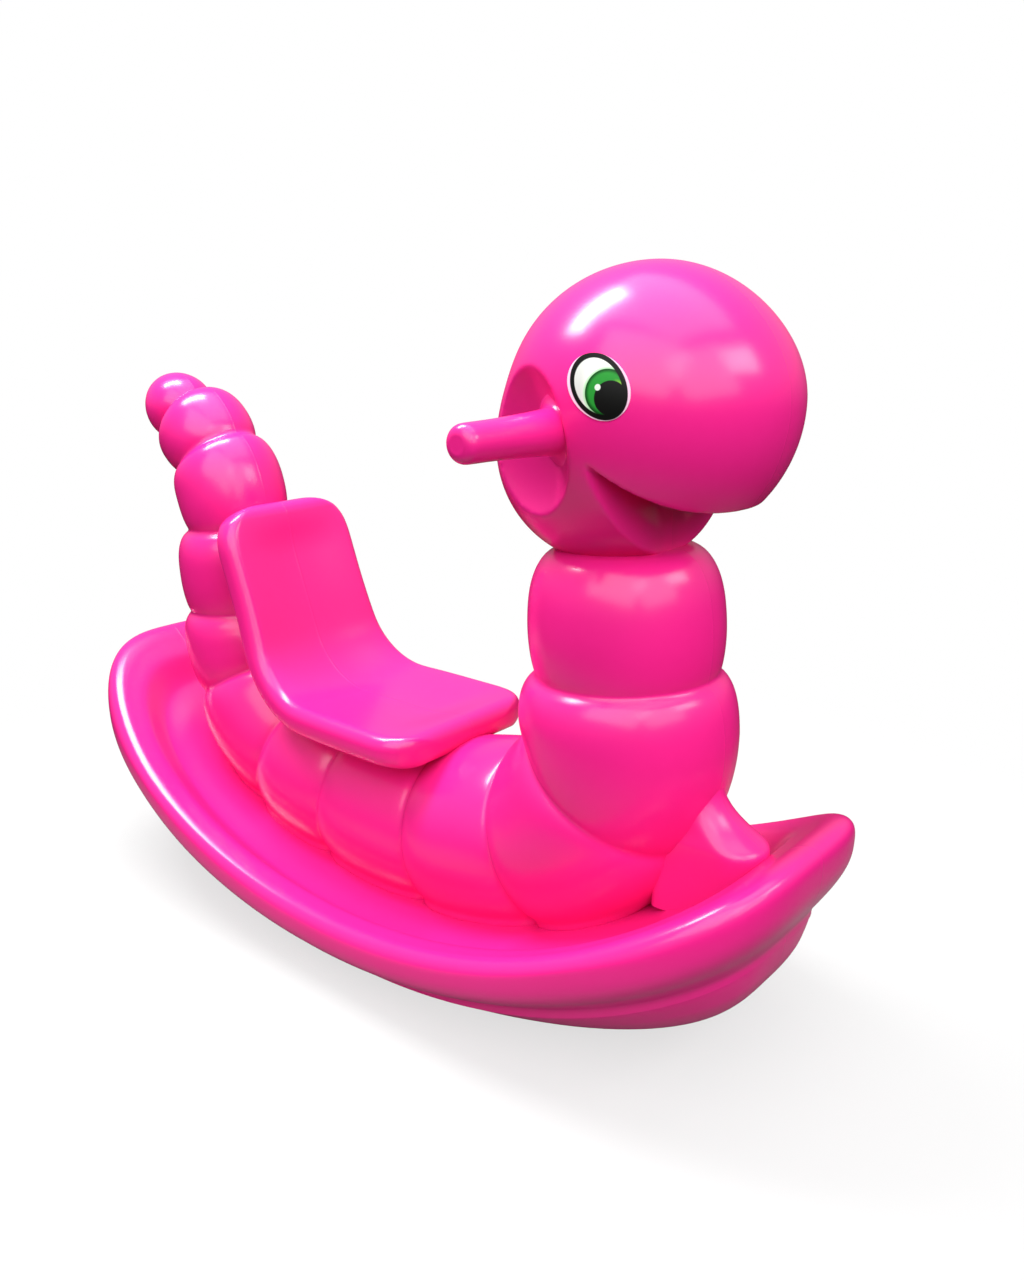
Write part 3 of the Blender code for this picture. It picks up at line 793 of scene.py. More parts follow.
        def down(share: float) -> Height:
            """A height rule at a share of the way from the tray down to the keel."""
            return lambda x: self.under_at(x) + (self.keel_at(x) - self.under_at(x)) * share

        stations = [((0.155, 0.160, 0.160), top)]
        for inward in (0.020, 0.004, 0.0):
            stations.append(([inset + inward for inset in self.hull_insets], top))
        # Each line's share of the way down, and how far it is turned in under the bilge.
        turns = ((0.0, 0.0), (0.16, 0.008), (0.26, 0.02), (0.36, 0.03), (0.50, 0.075), (0.62, 0.13))
        turns += ((0.74, 0.23), (0.84, 0.36), (0.91, 0.52), (0.96, 0.68), (0.99, 0.86), (1.0, 1.06))
        sizes = tuple(zip(self.hull_insets, self.hull_drafts, self.hull_rounds))
        for share, under in turns:
            insets = [inset + draft * share + rounding * under for inset, draft, rounding in sizes]
            stations.append((insets, down(share)))
        stations += [((0.130, 0.200, 0.200), self.keel_at), ((0.155, 0.240, 0.240), self.keel_at)]
        return Bench.finish(self.skin("rocker_skin", stations), plastic)


# Body


@dataclass(frozen=True)
class Bead:
    """One swollen ring of the body."""

    length: float
    girth: float
    crease: float = 0.0085


@dataclass(frozen=True)
class BodyPath:
    """The line inside the body: flat over the keel, curling up into the neck ahead and the tail behind."""

    low: tuple[float, float] = (0.0065, 0.113)
    ahead: tuple[tuple[float, float], ...] = ((0.450, 20.0), (0.125, 73.4))
    behind: tuple[tuple[float, float], ...] = ((0.600, 15.0), (0.145, 70.0))
    tail_straight: float = 0.110
    tail_curl: float = 0.130
    endless: float = 10.0

    def runs(self, forward: bool) -> list[tuple[float, float]]:
        """Stretches of the path.

        Args:
            forward: Whether to go towards the head.

        Returns:
            The length and curvature of each stretch.
        """
        arcs = self.ahead if forward else self.behind
        stretches = [(radius * math.radians(angle), 1 / radius) for radius, angle in arcs]
        if forward:
            return stretches + [(self.endless, 0.0)]
        return stretches + [(self.tail_straight, 0.0), (self.endless, -1 / self.tail_curl)]

    def at(self, distance: float) -> tuple[Vector, float]:
        """A point of the path.

        Args:
            distance: Distance along the path from its low point, negative towards the tail.

        Returns:
            The point, and the path's direction as an angle above +X.
        """
        x, z, angle = 0.0, self.low[1], 0.0
        left = abs(distance)
        way = 1 if distance >= 0 else -1
        for length, curvature in self.runs(distance >= 0):
            run = min(length, left)
            turned = angle + run * curvature
            if curvature:
                x += (math.sin(turned) - math.sin(angle)) / curvature
                z += (math.cos(angle) - math.cos(turned)) / curvature
            else:
                x += run * math.cos(angle)
                z += run * math.sin(angle)
            angle = turned
            left -= run
            if left <= 0:
                break
        return Vector((self.low[0] + way * x, 0, z)), way * angle


@dataclass(frozen=True)
class BeadedBody:
    """Tail, body and neck as one skin, with soft creases between its beads."""

    path: BodyPath
    base: RockerBase
    tail_end: float = -0.571
    beads: tuple[Bead, ...] = (
        Bead(0.056, 0.0495),
        Bead(0.079, 0.0565),
        Bead(0.087, 0.0655),
        Bead(0.075, 0.070),
        Bead(0.104, 0.077, 0.0080),
        Bead(0.096, 0.081, 0.0078),
        Bead(0.120, 0.083, 0.0078),
        Bead(0.116, 0.087, 0.0085),
        Bead(0.104, 0.091),
        Bead(0.093, 0.0895),
        Bead(0.103, 0.0800),
    )
    tip_radius: float = 0.036
    tip_rows: int = 12
    tip_share: float = 0.62
    neck_top: float = 0.051
    neck_taper: float = 0.085
    crease_depth: float = 0.0085
    crease_softness: float = 0.0018
    fullness: float = 2.4
    tilt_bead: int = 9
    tilt: float = -12.0
    sunk: float = 0.006
    fillet: float = 0.010
    fillet_spread: float = 0.7
    fillet_from: float = 0.02
    columns: int = 128
    rows: int = 560

    def ends(self) -> list[float]:
        """Finds where the beads meet.

        Returns:
            Distances along the path.
        """
        places = [self.tail_end]
        for bead in self.beads:
            places.append(places[-1] + bead.length)
        return places

    def tip_reach(self) -> float:
        """Distance from the tip ball's centre to its crease."""
        return math.sqrt(self.tip_radius**2 - (self.tip_radius - self.crease_depth) ** 2)

    def profile(self, place: float) -> float:
        """Radius of the body before its creases are softened.

        Args:
            place: Distance along the path.

        Returns:
            The radius.
        """
        crease = self.tip_radius - self.crease_depth
        if place < self.tail_end:
            off = place - (self.tail_end - self.tip_reach())
            return math.sqrt(max(self.tip_radius**2 - off * off, 0.0))
        start = self.tail_end
        for index, bead in enumerate(self.beads):
            last = index == len(self.beads) - 1
            after = self.neck_top if last else min(bead.girth, self.beads[index + 1].girth) - bead.crease
            if place <= start + bead.length or last:
                share = min((place - start) / bead.length, 1.0)
                waist = crease + (after - crease) * share
                swell = math.sqrt(max(1 - abs(2 * share - 1) ** self.fullness, 0.0))
                girth = bead.girth * (1 - self.neck_taper * share * share) if last else bead.girth
                return waist + (girth - waist) * swell
            start += bead.length
            crease = after
        return self.neck_top

    def radius(self, place: float) -> float:
        """Radius of the body with its creases softened, as a mould leaves them.

        Args:
            place: Distance along the path.

        Returns:
            The radius.
        """
        if place < self.tail_end - self.tip_radius / 2:
            return self.profile(place)
        # A mean over places up to two softnesses away, weighted by a bell curve.
        total, weight = 0.0, 0.0
        for step in range(-4, 5):
            share = math.exp(-0.5 * (step / 2) ** 2)
            total += share * self.profile(place + step / 2 * self.crease_softness)
            weight += share
        return total / weight

    def lean(self, place: float) -> float:
        """How far the crease under the neck tips, spread over the beads at both of its sides.

        Args:
            place: Distance along the path.

        Returns:
            The tilt in radians.
        """
        ends = self.ends()
        before, middle, after = ends[self.tilt_bead - 1], ends[self.tilt_bead], ends[self.tilt_bead + 1]
        if place <= middle:
            share = (place - before) / (middle - before)
        else:
            share = (after - place) / (after - middle)
        return math.radians(self.tilt) * clamp(share)

    def build(self, plastic: Material) -> Object:
        """Makes the body.

        Args:
            plastic: Its material.

        Returns:
            The new object.
        """
        first = self.tail_end - self.tip_reach() - self.tip_radius
        last = self.ends()[-1]
        lines = []
        for row in range(self.rows + 1):
            place = first + (last - first) * row / self.rows
            if row < self.tip_rows:
                turn = math.pi / 2 * row / self.tip_rows
                place = first + self.tip_radius * (1 - math.cos(turn)) * self.tip_share
            centre, angle = self.path.at(place)
            lines.append((centre, angle + self.lean(place), max(self.radius(place), 0.0)))

        def place_point(around: float, along: float) -> Vector:
            """A point of the body.

            Args:
                around: Share of the way round it.
                along: Share of the rows from the tail's tip to the neck.

            Returns:
                The point.
            """
            centre, angle, radius = lines[round(along * self.rows)]
            turn = 2 * math.pi * around
            up = Vector((-math.sin(angle), 0, math.cos(angle)))
            return self.seated(centre + radius * (math.cos(turn) * Vector((0, 1, 0)) + math.sin(turn) * up))

        piece = Bench.rolled_skin("beaded_body", self.columns, self.rows, place_point)
        return Bench.finish(piece, plastic, NO_SHARP_EDGE)

    def seated(self, point: Vector) -> Vector:
        """Sinks a point that lies below the deck just into it, and flares the foot of the body onto the deck.

        Args:
            point: A point of the body.

        Returns:
            The point's place.
        """
        over = point.z - self.base.floor_at(point.x)
        if over < self.fillet and abs(point.y) > self.fillet_from:
            share = 1 - max(over, 0.0) / self.fillet
            point.y += math.copysign(self.fillet_spread * self.fillet * share * share, point.y)
        if over < -self.sunk:
            point.z = self.base.floor_at(point.x) - self.sunk
        return point


@dataclass(frozen=True)
class FrontWeb:
    """The concave web that carries the front of the neck down onto the tray."""

    path: BodyPath
    base: RockerBase
    neck_place: float = 0.3125
    girth: float = 0.0895
    neck_half: float = 0.02146
    foot_half: float = 0.0058
    reach: float = 0.042
    spread: float = 0.004
    shoulder: float = 0.236
    flare_height: float = 0.047
    flare_power: float = 2.3
    neck_slope: float = 0.004
    sunk: float = 0.014
    buried: float = 0.5
    side_share: float = 0.86
    rows: int = 32
    columns: int = 48

    def build(self, plastic: Material) -> Object:
        """Makes the web.

        Args:
            plastic: Its material.

        Returns:
            The new object.
        """
        neck, _ = self.path.at(self.neck_place)
        front = neck.x + self.girth
        back = front - self.buried * self.girth
        floor = self.base.floor_at(front) - self.base.plinth_rise - self.sunk

        def place(around: float, along: float) -> Vector:
            """A point of the web.

            Args:
                around: Share of the way round it, from its tip.
                along: Share of its height.

            Returns:
                The point.
            """
            height = floor + (neck.z - floor) * along
            flare = clamp((self.shoulder - height) / self.flare_height) ** self.flare_power
            tip = front - self.neck_slope * along + self.reach * flare
            half = self.neck_half + self.foot_half * flare
            side = 1 if around < 0.5 else -1
            run = min(2 * around, 2 - 2 * around)
            inward = (tip - back) * min(run / self.side_share, 1.0) ** 2
            rounded = math.sqrt(max(1 - max(1 - inward / half, 0.0) ** 2, 0.0))
            width = half * rounded + self.spread * (inward / (tip - back)) ** 3
            if run > self.side_share:
                width *= (1 - run) / (1 - self.side_share)
            return Vector((tip - inward, side * width, height))

        piece = Bench.rolled_skin("front_web", self.columns, self.rows, place, levels=1)
        return Bench.finish(piece, plastic)


# Saddle seat


@dataclass(frozen=True)
class SaddleSeat:
    """The saddle: a thick slab with a rolled edge, dished across and bent up into a backrest."""

    path: BodyPath
    front: float = 0.0725
    pan_width: float = 0.186
    back_width: float = 0.158
    thickness: float = 0.030
    edge_round: float = 0.0125
    dish: float = 0.006
    bend_radius: float = 0.085
    lean: float = 20.0
    back_length: float = 0.137
    corner: float = 0.040
    narrowing: tuple[float, float] = (0.25, 0.55)
    spans: int = 26
    top_girth: float = 0.083
    sink: float = 0.001
    tail_bead: float = -0.4755
    tail_girth: float = 0.0565
    back_sink: float = 0.004

    def level(self) -> float:
        """Height of the pan's middle surface, resting on the belly."""
        return self.path.low[1] + self.top_girth - self.sink + self.thickness / 2

    def bend(self) -> float:
        """Angle through which the slab bends up, in radians."""
        return math.radians(90 - self.lean)

    def heel(self) -> float:
        """Finds where the pan starts to bend up, so that the backrest leans on the tail.

        Returns:
            Its x.
        """
        centre, _ = self.path.at(self.tail_bead)
        bend = self.bend()
        reach = self.tail_girth - self.back_sink + self.thickness / 2
        x = centre.x + reach * math.sin(bend)
        z = centre.z + reach * math.cos(bend)
        rest = (z - self.level() - self.bend_radius * (1 - math.cos(bend))) / math.sin(bend)
        return x + self.bend_radius * math.sin(bend) + rest * math.cos(bend)

    def length(self) -> float:
        """Length of the slab along its middle surface."""
        return self.front - self.heel() + self.bend_radius * self.bend() + self.back_length

    def line(self, distance: float) -> tuple[Vector, float]:
        """A point of the middle surface.

        Args:
            distance: Distance back from the front edge.

        Returns:
            The point and the slab's slope in radians.
        """
        heel, radius, bend, middle = self.heel(), self.bend_radius, self.bend(), self.level()
        pan = self.front - heel
        if distance <= pan:
            return Vector((self.front - distance, 0, middle)), 0.0
        curve = distance - pan
        if curve <= radius * bend:
            angle = curve / radius
            x = heel - radius * math.sin(angle)
            return Vector((x, 0, middle + radius * (1 - math.cos(angle)))), angle
        rest = curve - radius * bend
        x = heel - radius * math.sin(bend) - rest * math.cos(bend)
        return Vector((x, 0, middle + radius * (1 - math.cos(bend)) + rest * math.sin(bend))), bend

    def half_width(self, distance: float) -> float:
        """Half the width of the slab.

        Args:
            distance: Distance back from the front edge.

        Returns:
            Half the width there, with the round corners.
        """
        length = self.length()
        start, run = self.narrowing
        narrowed = half_wave(clamp((distance - start * length) / (run * length)))
        half = (self.pan_width + (self.back_width - self.pan_width) * narrowed) / 2
        into = self.corner - min(distance, length - distance)
        if into > 0:
            half -= self.corner - math.sqrt(max(self.corner**2 - into**2, 0.0))
        return half

    @staticmethod
    def section() -> list[tuple[float, float, float, float]]:
        """Draws the slab's section: its upper face, left edge, lower face and right edge.

        Returns:
            Spots as shares of the flat half width, the edge radius across, the flat half height and the edge
            radius upward.
        """
        quarter = [math.radians(turn) for turn in range(0, 91, 15)]
        spots = [(step / 9, 0.0, 1.0, 1.0) for step in range(-8, 9)]
        for s in (1, -1):
            spots += [(s, s * math.sin(turn), s, s * math.cos(turn)) for turn in quarter]
            spots.append((s, s, 0.0, 0.0))
            spots += [(s, s * math.sin(turn), -s, -s * math.cos(turn)) for turn in reversed(quarter)]
            if s == 1:
                spots += [(step / 4, 0.0, -1.0, -1.0) for step in range(3, -4, -1)]
        return spots

    def stations(self) -> list[float]:
        """Spaces the section out along the slab, closer where the ends round off.

        Returns:
            Distances from the front edge.
        """
        length, rounding = self.length(), self.edge_round
        near = [rounding * (1 - math.cos(math.radians(turn))) for turn in (4, 18, 34, 50, 68, 90)]
        near += [0.015, 0.021, 0.028]
        pitch = (length - 2 * self.corner) / self.spans
        middle = [self.corner + pitch * step for step in range(self.spans + 1)]
        return near + middle + [length - place for place in reversed(near)]

    def build(self, plastic: Material) -> Object:
        """Makes the seat.

        Args:
            plastic: Its material.

        Returns:
            The new object.
        """
        section, stations = self.section(), self.stations()
        length, half, rounding = self.length(), self.thickness / 2, self.edge_round

        def place(around: float, along: float) -> Vector:
            """A point of the slab.

            Args:
                around: Share of the way round its section.
                along: Share of the way through the stations.

            Returns:
                The point.
            """
            flat, out, stand, up = section[round(around * len(section))]
            distance = stations[round(along * (len(stations) - 1))]
            edge = min(distance, length - distance)
            arc = rounding
            if edge < rounding:
                arc = math.sqrt(max(rounding**2 - (rounding - edge) ** 2, 0.0))
            wide = self.half_width(distance)
            y = flat * max(wide - rounding, 0.0) + out * arc
            rise = stand * (half - rounding) + up * arc
            if up == 1:
                spread = min(abs(y) / (wide - rounding + arc), 1.0)
                rise -= self.dish * (1 - spread**2) ** 2 * ease(clamp((edge - rounding) / self.corner))
            centre, angle = self.line(distance)
            return centre + Vector((math.sin(angle) * rise, y, math.cos(angle) * rise))

        piece = Bench.rolled_skin("saddle", len(section), len(stations) - 1, place, levels=2)
        return Bench.finish(piece, plastic)


# Head


@dataclass(frozen=True)
class Head:
    """The round head with its jaw, smiling mouth and the two dishes that the handles stand in."""

    path: BodyPath
    neck_end: float = 0.462
    radius: float = 0.1085
    reach: float = 0.0235
    lift: float = 0.1120
    crown: float = 0.0990
    brow_slope: float = 0.10
    jaw_radius: float = 0.088
    jaw_back: float = 0.038
    jaw_drop: float = 0.038
    inner_share: float = 0.4
    cheek_blend: float = 12.0
    mouth_angle: float = 84.0
    mouth_drop: float = 0.0705
    corner_drop: float = 0.034
    gape: float = 0.026
    mouth_depth: float = 0.011
    lip_reach: float = 0.019
    gape_power: float = 9.0
    lip_power: float = 2.5
    hollow_run: tuple[float, float] = (0.40, 0.35)
    hollow_power: float = 6.0
    thinnest: float = 0.01
    past_skin: float = 1.1
    mouth_spans: int = 72
    smile_power: float = 3.1
    dish_turn: float = 114.0
    dish_rise: float = -11.0
    dish_length: float = 0.084
    dish_height: float = 0.096
    dish_depth: float = 0.018
    dish_bulge: float = 0.034
    voxel: float = 0.0016
    smoothing: int = 9

    def centre(self) -> Vector:
        """Centre of the head's ball."""
        top, _ = self.path.at(self.neck_end)
        return top + Vector((self.reach, 0, self.lift))

    def origin(self) -> Vector:
        """A point inside both the ball and the jaw."""
        return self.centre() + self.inner_share * Vector((-self.jaw_back, 0, -self.jaw_drop))

    @staticmethod
    def ball_reach(origin: Vector, way: Vector, centre: Vector, radius: float) -> float:
        """Distance from a point inside a ball to its surface.

        Args:
            origin: The point.
            way: Direction of length 1.
            centre: The ball's centre.
            radius: The ball's radius.

        Returns:
            The distance.
        """
        offset = origin - centre
        half = offset.dot(way)
        return -half + math.sqrt(max(half * half - offset.dot(offset) + radius * radius, 0.0))

    def skin(self, way: Vector, lift: float = 0.0) -> Vector:
        """A point of the head's surface.

        Args:
            way: Direction of length 1 from the head's origin.
            lift: Distance outside the surface.

        Returns:
            The point.
        """
        origin, centre = self.origin(), self.centre()
        jaw_centre = centre + Vector((-self.jaw_back, 0, -self.jaw_drop))
        ball = self.ball_reach(origin, way, centre, self.radius)
        jaw = self.ball_reach(origin, way, jaw_centre, self.jaw_radius)
        blend = self.cheek_blend
        point = origin + way * ((ball**blend + jaw**blend) ** (1 / blend) + lift)
        above = point.z - centre.z
        ahead = max(point.x - centre.x, 0.0) / self.radius
        if above > 0:
            point.z -= above * (1 - self.crown / self.radius + self.brow_slope * ahead * ahead)
        return point

    def dish_frame(self, side: int) -> tuple[Vector, Vector, Vector]:
        """A dish's directions out of it, ahead along the cheek and up, for the sign of its y."""
        return cheek_frame(self.dish_turn, self.dish_rise, side)

    def dish_radius(self, opening: float) -> float:
        """Half-axis of a ball that leaves an opening of a given size in the cheek.

        Args:
            opening: Size of the opening.

        Returns:
            The half-axis.
        """
        half = opening / 2
        drop = self.dish_depth - half * half / (2 * self.radius)
        return half / math.sqrt(1 - (1 - drop / self.dish_bulge) ** 2)

    def dish_floor(self, axis: Vector) -> float:
        """How far from the middle plane the dish's floor lies.

        Args:
            axis: A point of the handles' axis in the middle plane, from the head's centre.

        Returns:
            The distance.
        """
        skin = Vector((axis.x, math.sqrt(self.radius**2 - axis.x**2 - axis.z**2), axis.z))
        out, ahead, up = self.dish_frame(1)
        along = skin.dot(ahead) / self.dish_radius(self.dish_length)
        across = skin.dot(up) / self.dish_radius(self.dish_height)
        bow = self.dish_bulge * (1 - math.sqrt(max(1 - along**2 - across**2, 0.0)))
        return skin.y - (skin.dot(out) - (self.radius - self.dish_depth + bow)) / out.y

    def dish_cutter(self, side: Side) -> Object:
        """An oval ball that hollows one dish.

        Args:
            side: Which dish.

        Returns:
            The new object.
        """
        out, ahead, up = self.dish_frame(side.value)
        middle = self.centre() + out * (self.radius - self.dish_depth + self.dish_bulge)
        long_half, high_half = self.dish_radius(self.dish_length), self.dish_radius(self.dish_height)
        ball = bpy.ops.mesh.primitive_uv_sphere_add
        cutter = Bench.add(ball, "dish_cutter", segments=96, ring_count=48, radius=1.0)
        for vertex in cutter.data.vertices:
            x, y, z = vertex.co
            vertex.co = middle + ahead * (x * long_half) + up * (y * high_half) + out * (z * self.dish_bulge)
        Bench.edit(cutter)
        bpy.ops.mesh.normals_make_consistent(inside=False)
        Bench.leave_edit()
        return cutter

    def mouth_cutter(self) -> Object:
        """A hollow that follows the smile from one corner, round under the snout, to the other.

        Returns:
            The new object.
        """
        centre = self.centre()
        outer, bottom = self.past_skin * self.radius, -self.lift - self.gape
        start, run = self.hollow_run

        def place(around: float, along: float) -> Vector:
            """A point of the hollow.

            Args:
                around: Share of the way round its section.
                along: Share of the smile from corner to corner.

            Returns:
                The point.
            """
            share = abs(2 * along - 1)
            turn = math.radians(self.mouth_angle) * (2 * along - 1)
            top = -self.mouth_drop + (self.mouth_drop - self.corner_drop) * share**self.smile_power
            low = top - self.gape * max(1 - share**self.gape_power, self.thinnest)
            skin = math.sqrt(max(self.radius**2 - low**2, 0.0))
            lip = skin + (self.lip_reach - skin) * (1 - share**self.lip_power)
            # The hollow behind the lip fades out towards the middle of the smile and at its corners.
            deep = ease(clamp((share - start) / run)) * max(1 - share**self.hollow_power, 2 * self.thinnest)
            inner = lip - self.mouth_depth * max(deep, self.thinnest)
            # Up the back of the hollow, out past the skin, down below the jaw and back up to the lip.
            section = (
                (inner + 0.22 * (lip - inner), top + 0.55 * (low - top)),
                (inner, top + 0.32 * (low - top)),
                (inner + 0.004, top + 0.10 * (low - top)),
                (outer, top + 0.02 * (low - top)),
                (outer, bottom),
                (lip + 0.0005, bottom),
                (lip, low),
                (inner + 0.62 * (lip - inner), top + 0.80 * (low - top)),
            )
            reach, height = section[round(around * len(section)) % len(section)]
            return centre + Vector((reach * math.cos(turn), reach * math.sin(turn), height))

        return Bench.rolled_skin("mouth_cutter", 8, self.mouth_spans, place)

    def build(self, plastic: Material) -> Object:
        """Makes the head: a ball shaped with its jaw, cut by the mouth and the dishes, and softened all over.

        Args:
            plastic: Its material.

        Returns:
            The new object.
        """
        ball = bpy.ops.mesh.primitive_uv_sphere_add
        piece = Bench.add(ball, "head_shell", segments=160, ring_count=80, radius=1.0)
        for vertex in piece.data.vertices:
            vertex.co = self.skin(vertex.co.normalized())
        for cutter in [self.mouth_cutter()] + [self.dish_cutter(side) for side in Side]:
            Bench.modify(piece, "BOOLEAN", operation="DIFFERENCE", solver="MANIFOLD", object=cutter)
            bpy.data.objects.remove(cutter, do_unlink=True)
        Bench.modify(piece, "REMESH", mode="VOXEL", voxel_size=self.voxel, use_smooth_shade=True)
        Bench.modify(piece, "SMOOTH", factor=0.5, iterations=self.smoothing)
        return Bench.finish(piece, plastic, NO_SHARP_EDGE)


@dataclass(frozen=True)
class Handles:
    """The two stub handles: round bars with a flared root and a rounded end."""

    head: Head
    diameter: float = 0.0265
    span: float = 0.390
    back: float = 0.020
    drop: float = 0.016
    sunk: float = 0.010
    flare: float = 0.011
    taper: float = 0.0030
    end_round: float = 0.0075
    follow_reach: float = 1.8
    cap_share: float = 0.35
    cap_rise: float = 0.0001
    columns: int = 64

    def profile(self, root: float) -> list[tuple[float, float]]:
        """The bar's half section.

        Args:
            root: How far from the middle plane the dish's floor lies.

        Returns:
            Radii and distances from the middle plane, from the hidden root out to the end.
        """
        half, end = self.diameter / 2, self.span / 2
        straight, rounding = root + self.flare, end - self.end_round
        spots = [(0.0, root - self.sunk), (half + self.flare, root - 0.9 * self.sunk)]
        for turn in range(90, -1, -15):
            angle = math.radians(turn)
            widened = half + self.taper + self.flare * (1 - math.cos(angle))
            spots.append((widened, root + self.flare * (1 - math.sin(angle))))
        for share in (0.15, 0.3, 0.45, 0.6, 0.75, 0.9):
            spots.append((half + self.taper * (1 - share) ** 2, straight + (rounding - straight) * share))
        for turn in (0, 20, 40, 60, 80, 90):
            angle = math.radians(turn)
            inward = self.end_round * (1 - math.cos(angle))
            spots.append((half - inward, rounding + self.end_round * math.sin(angle)))
        return spots + [(half * self.cap_share, end - self.cap_rise), (0.0, end)]

    def build(self, side: Side, plastic: Material) -> Object:
        """Makes one handle.

        Args:
            side: Which handle.
            plastic: Its material.

        Returns:
            The new object.
        """
        offset = Vector((-self.back, 0, -self.drop))
        axis = self.head.centre() + offset
        root = self.head.dish_floor(offset)
        lean = self.head.dish_frame(1)[0]
        profile = self.profile(root)

        def place(around: float, along: float) -> Vector:
            """A point of the bar.

            Args:
                around: Share of the way round it.
                along: Share of the way along its half section.

            Returns:
                The point.
            """
            radius, out = profile[round(along * (len(profile) - 1))]
            turn = 2 * math.pi * around
            spot = Vector((radius * math.cos(turn), 0, radius * math.sin(turn)))
            follow = clamp(1 - (out - root) / (self.follow_reach * self.flare))
            out -= follow * spot.dot(lean) / lean.y
            return axis + spot + Vector((0, side.value * out, 0))

        piece = Bench.rolled_skin(f"grip_{side.word}", self.columns, len(profile) - 1, place, levels=1)
        return Bench.finish(piece, plastic)


@dataclass(frozen=True)
class EyeLabels:
    """The two printed ovals on the cheeks."""

    head: Head
    length: float = 0.053
    width: float = 0.041
    forward: float = 78.0
    rise: float = 10.0
    lean: float = 42.0
    thickness: float = 0.0007
    sunk: float = 0.0010
    edge_angle: float = 40.0
    columns: int = 96
    rings: int = 16

    def frame(self, side: int) -> tuple[Vector, Vector, Vector]:
        """A label's middle and its directions ahead and up the cheek, for the sign of its y."""
        out, ahead, up = cheek_frame(self.forward, self.rise, side)
        return self.head.centre() + out * self.head.radius, ahead, up

    def material(self) -> Material:
        """Makes the printed material that both labels share.

        Returns:
            The finished material.
        """
        middle, ahead, up = self.frame(1)
        origin = self.head.origin()
        middle = self.head.skin((middle - origin).normalized())
        return EyePrint(tuple(middle), tuple(ahead), tuple(up), self.lean).build()

    def build(self, side: Side, print_material: Material) -> Object:
        """Makes one label, wrapped over the curve of the cheek.

        Args:
            side: Which label.
            print_material: Its material.

        Returns:
            The new object.
        """
        middle, ahead, up = self.frame(side.value)
        lean = math.radians(self.lean)
        long_way = up * math.cos(lean) - ahead * math.sin(lean)
        wide_way = ahead * math.cos(lean) + up * math.sin(lean)
        origin = self.head.origin()
        steps = [(ring / self.rings, self.thickness) for ring in range(self.rings + 1)]
        steps += [(1.006, 0.6 * self.thickness), (1.008, -0.5 * self.sunk)]
        steps += [(0.5, -self.sunk), (0.0, -self.sunk)]

        def place(around: float, along: float) -> Vector:
            """A point of the label.

            Args:
                around: Share of the way round the oval.
                along: Share of the way out from its middle and back underneath.

            Returns:
                The point.
            """
            share, lift = steps[round(along * (len(steps) - 1))]
            turn = 2 * math.pi * around
            spot = middle + long_way * (self.length / 2 * share * math.cos(turn))
            spot = spot + wide_way * (self.width / 2 * share * math.sin(turn))
            return self.head.skin((spot - origin).normalized(), lift)

        piece = Bench.rolled_skin(f"eye_{side.word}", self.columns, len(steps) - 1, place)
        return Bench.finish(piece, print_material, self.edge_angle)


# Studio


@dataclass(frozen=True)
class Softbox:
    """A soft rectangular light, whose long way is the direction of its first size."""

    name: str
    place: Triple
    size: tuple[float, float]
    watts: float
    long_way: Triple = (0.0, 1.0, 0.0)
    tint: Triple = (1.0, 1.0, 1.0)

    def build(self, target: Vector) -> None:
        """Adds the light.

        Args:
            target: The point that it faces.
        """
        data = bpy.data.lights.new(self.name, "AREA")
        data.shape = "RECTANGLE"
        data.size, data.size_y = self.size
        data.energy = self.watts
        data.color = self.tint
        lamp = bpy.data.objects.new(self.name, data)
        bpy.context.scene.collection.objects.link(lamp)
        lamp.location = self.place
        back = (lamp.location - target).normalized()
        side = Vector(self.long_way)
        side = (side - back * side.dot(back)).normalized()
        lamp.rotation_euler = Matrix((side, back.cross(side), back)).transposed().to_euler()


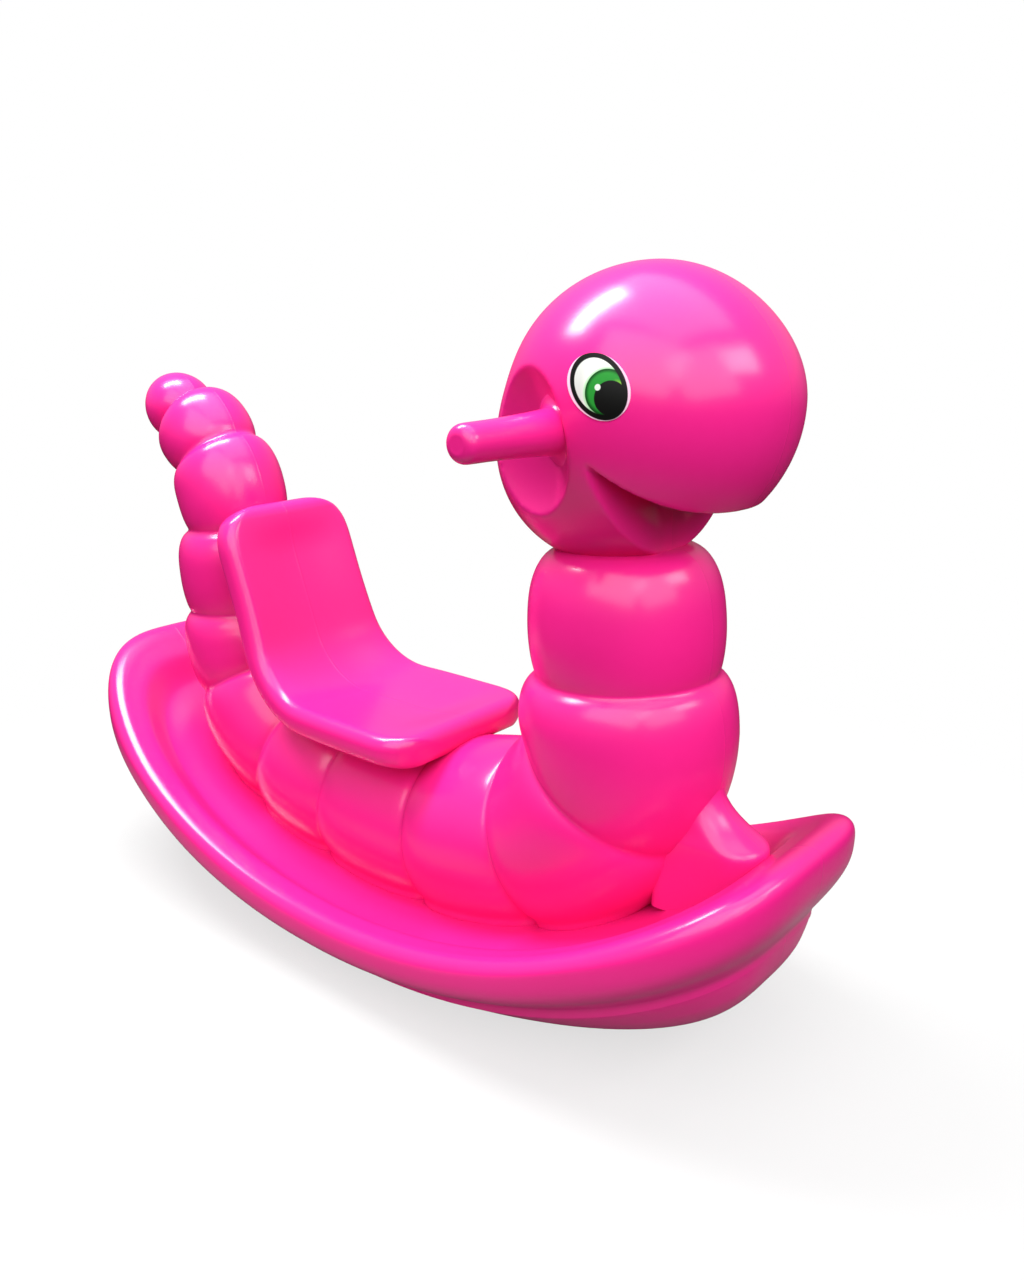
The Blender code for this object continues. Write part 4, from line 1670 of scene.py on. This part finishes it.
@dataclass(frozen=True)
class Studio:
    """The pale floor, the soft lights and the camera."""

    camera_place: Triple = (0.7093, -0.7035, 0.5903)
    target: Triple = (0.1190, 0.0, 0.3095)
    lens: float = 31.0
    sensor: float = 36.0
    lit_point: Triple = (0.05, 0.0, 0.30)
    floor_radius: float = 3.0
    floor_shades: tuple[Colour, Colour] = (colour(196, 196, 196), colour(201, 201, 201))
    floor_noise: tuple[float, ...] = (30.0, 3.0)
    floor_roughness: float = 0.7
    floor_fade: tuple[float, float] = (0.30, 0.90)
    floor_clear: float = 0.68
    sky: float = 0.42
    ground: float = 0.03
    horizon: tuple[float, float] = (-0.15, 0.35)
    boxes: tuple[Softbox, ...] = (
        Softbox("key", (-0.72, -0.20, 2.00), (1.10, 0.40), 46.0, (0.59, 1.02, 0.50)),
        Softbox("top", (0.25, 0.20, 2.60), (2.4, 2.0), 34.0, (1.0, 0.0, 0.0), (1.0, 0.98, 0.97)),
        Softbox("back_fill", (1.60, 0.50, 1.50), (0.75, 0.50), 8.0),
        Softbox("side_fill", (2.00, -0.55, 1.55), (1.7, 1.5), 20.0),
        Softbox("front_fill", (0.80, -1.80, 2.05), (2.8, 2.2), 54.0, (1.0, 0.0, 0.0)),
    )

    def build(self) -> None:
        """Makes the whole studio."""
        self.floor()
        self.world()
        for box in self.boxes:
            box.build(Vector(self.lit_point))
        data = bpy.data.cameras.new("camera")
        data.lens = self.lens
        data.sensor_width = self.sensor
        camera = bpy.data.objects.new("camera", data)
        bpy.context.scene.collection.objects.link(camera)
        camera.location = self.camera_place
        camera.rotation_euler = (Vector(self.target) - camera.location).to_track_quat("-Z", "Y").to_euler()
        bpy.context.scene.camera = camera
        bpy.context.scene.view_settings.view_transform = "Standard"

    def floor(self) -> None:
        """Makes a round pale floor that fades into the white backdrop."""
        disc = bpy.ops.mesh.primitive_circle_add
        floor = Bench.add(disc, "studio_floor", vertices=96, radius=self.floor_radius, fill_type="NGON")
        shading = Shading("studio_floor")
        where = shading.coordinates()
        x, y, _ = shading.axes(where)
        away = (x * x + y * y) ** 0.5
        tone = shading.blend(shading.noise(where, *self.floor_noise), *self.floor_shades)
        shading.feed(Base_Color=tone, Roughness=self.floor_roughness, Metallic=0.0)
        fade = away.smooth(*self.floor_fade) * (1.0 - self.floor_clear) + self.floor_clear
        solid = Socket(shading.tree, shading.shader.outputs["BSDF"])
        clear = Socket(shading.tree, shading.node("ShaderNodeBsdfTransparent", {}, {}).outputs["BSDF"])
        mix = shading.node("ShaderNodeMixShader", {}, {0: fade, 1: solid, 2: clear})
        output = next(node for node in shading.tree.nodes if node.type == "OUTPUT_MATERIAL")
        shading.tree.links.new(mix.outputs["Shader"], output.inputs["Surface"])
        floor.data.materials.append(shading.material)

    def world(self) -> None:
        """Makes a world that the camera sees as white and that lights the toy softly."""
        world = bpy.data.worlds.new("studio")
        bpy.context.scene.world = world
        world.use_nodes = True
        tree = world.node_tree
        background = tree.nodes["Background"]
        background.inputs["Color"].default_value = WHITE
        seen = Socket(tree, tree.nodes.new("ShaderNodeLightPath").outputs["Is Camera Ray"])
        way = tree.nodes.new("ShaderNodeTexCoord")
        split = tree.nodes.new("ShaderNodeSeparateXYZ")
        tree.links.new(way.outputs["Generated"], split.inputs["Vector"])
        glow = Socket(tree, split.outputs["Z"]).smooth(*self.horizon) * (self.sky - self.ground) + self.ground
        Socket.put(seen * (1.0 - glow) + glow, background.inputs["Strength"])


# The whole toy


def place_piece(piece: Object, slot: Slot, *nodes: str) -> None:
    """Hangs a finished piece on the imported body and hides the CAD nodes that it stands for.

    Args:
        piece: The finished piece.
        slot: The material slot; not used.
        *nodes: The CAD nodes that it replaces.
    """
    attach(piece, BODY)
    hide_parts(*nodes)
    LOG.info("%s: %d faces, stands for %s", piece.name, len(piece.data.polygons), ", ".join(nodes))


def main() -> None:
    """Builds the toy and its studio."""
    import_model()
    plastic = MouldedPlastic().build()
    base, path = RockerBase(), BodyPath()
    place_piece(base.hull(plastic), Slot.MOULDING, "rocker_hull")
    place_piece(base.tray(plastic), Slot.MOULDING, "foot_deck")
    body_nodes = ["tail_tip"] + [f"tail_segment_{number}" for number in range(1, 5)]
    body_nodes += [f"body_segment_{number}" for number in range(1, 6)] + ["neck_lower", "neck_upper"]
    place_piece(BeadedBody(path, base).build(plastic), Slot.MOULDING, *body_nodes)
    place_piece(FrontWeb(path, base).build(plastic), Slot.MOULDING, "front_brace")
    place_piece(SaddleSeat(path).build(plastic), Slot.MOULDING, "seat")
    head = Head(path)
    place_piece(head.build(plastic), Slot.MOULDING, "head")
    handles, labels = Handles(head), EyeLabels(head)
    eye_print = labels.material()
    for side in Side:
        place_piece(handles.build(side, plastic), Slot.MOULDING, f"handle_{side.word}")
        place_piece(labels.build(side, eye_print), Slot.EYE_PRINT, f"eye_label_{side.word}")
    Studio().build()


if __name__ == "__main__":
    logging.basicConfig(level=logging.INFO, format="%(message)s")
    main()
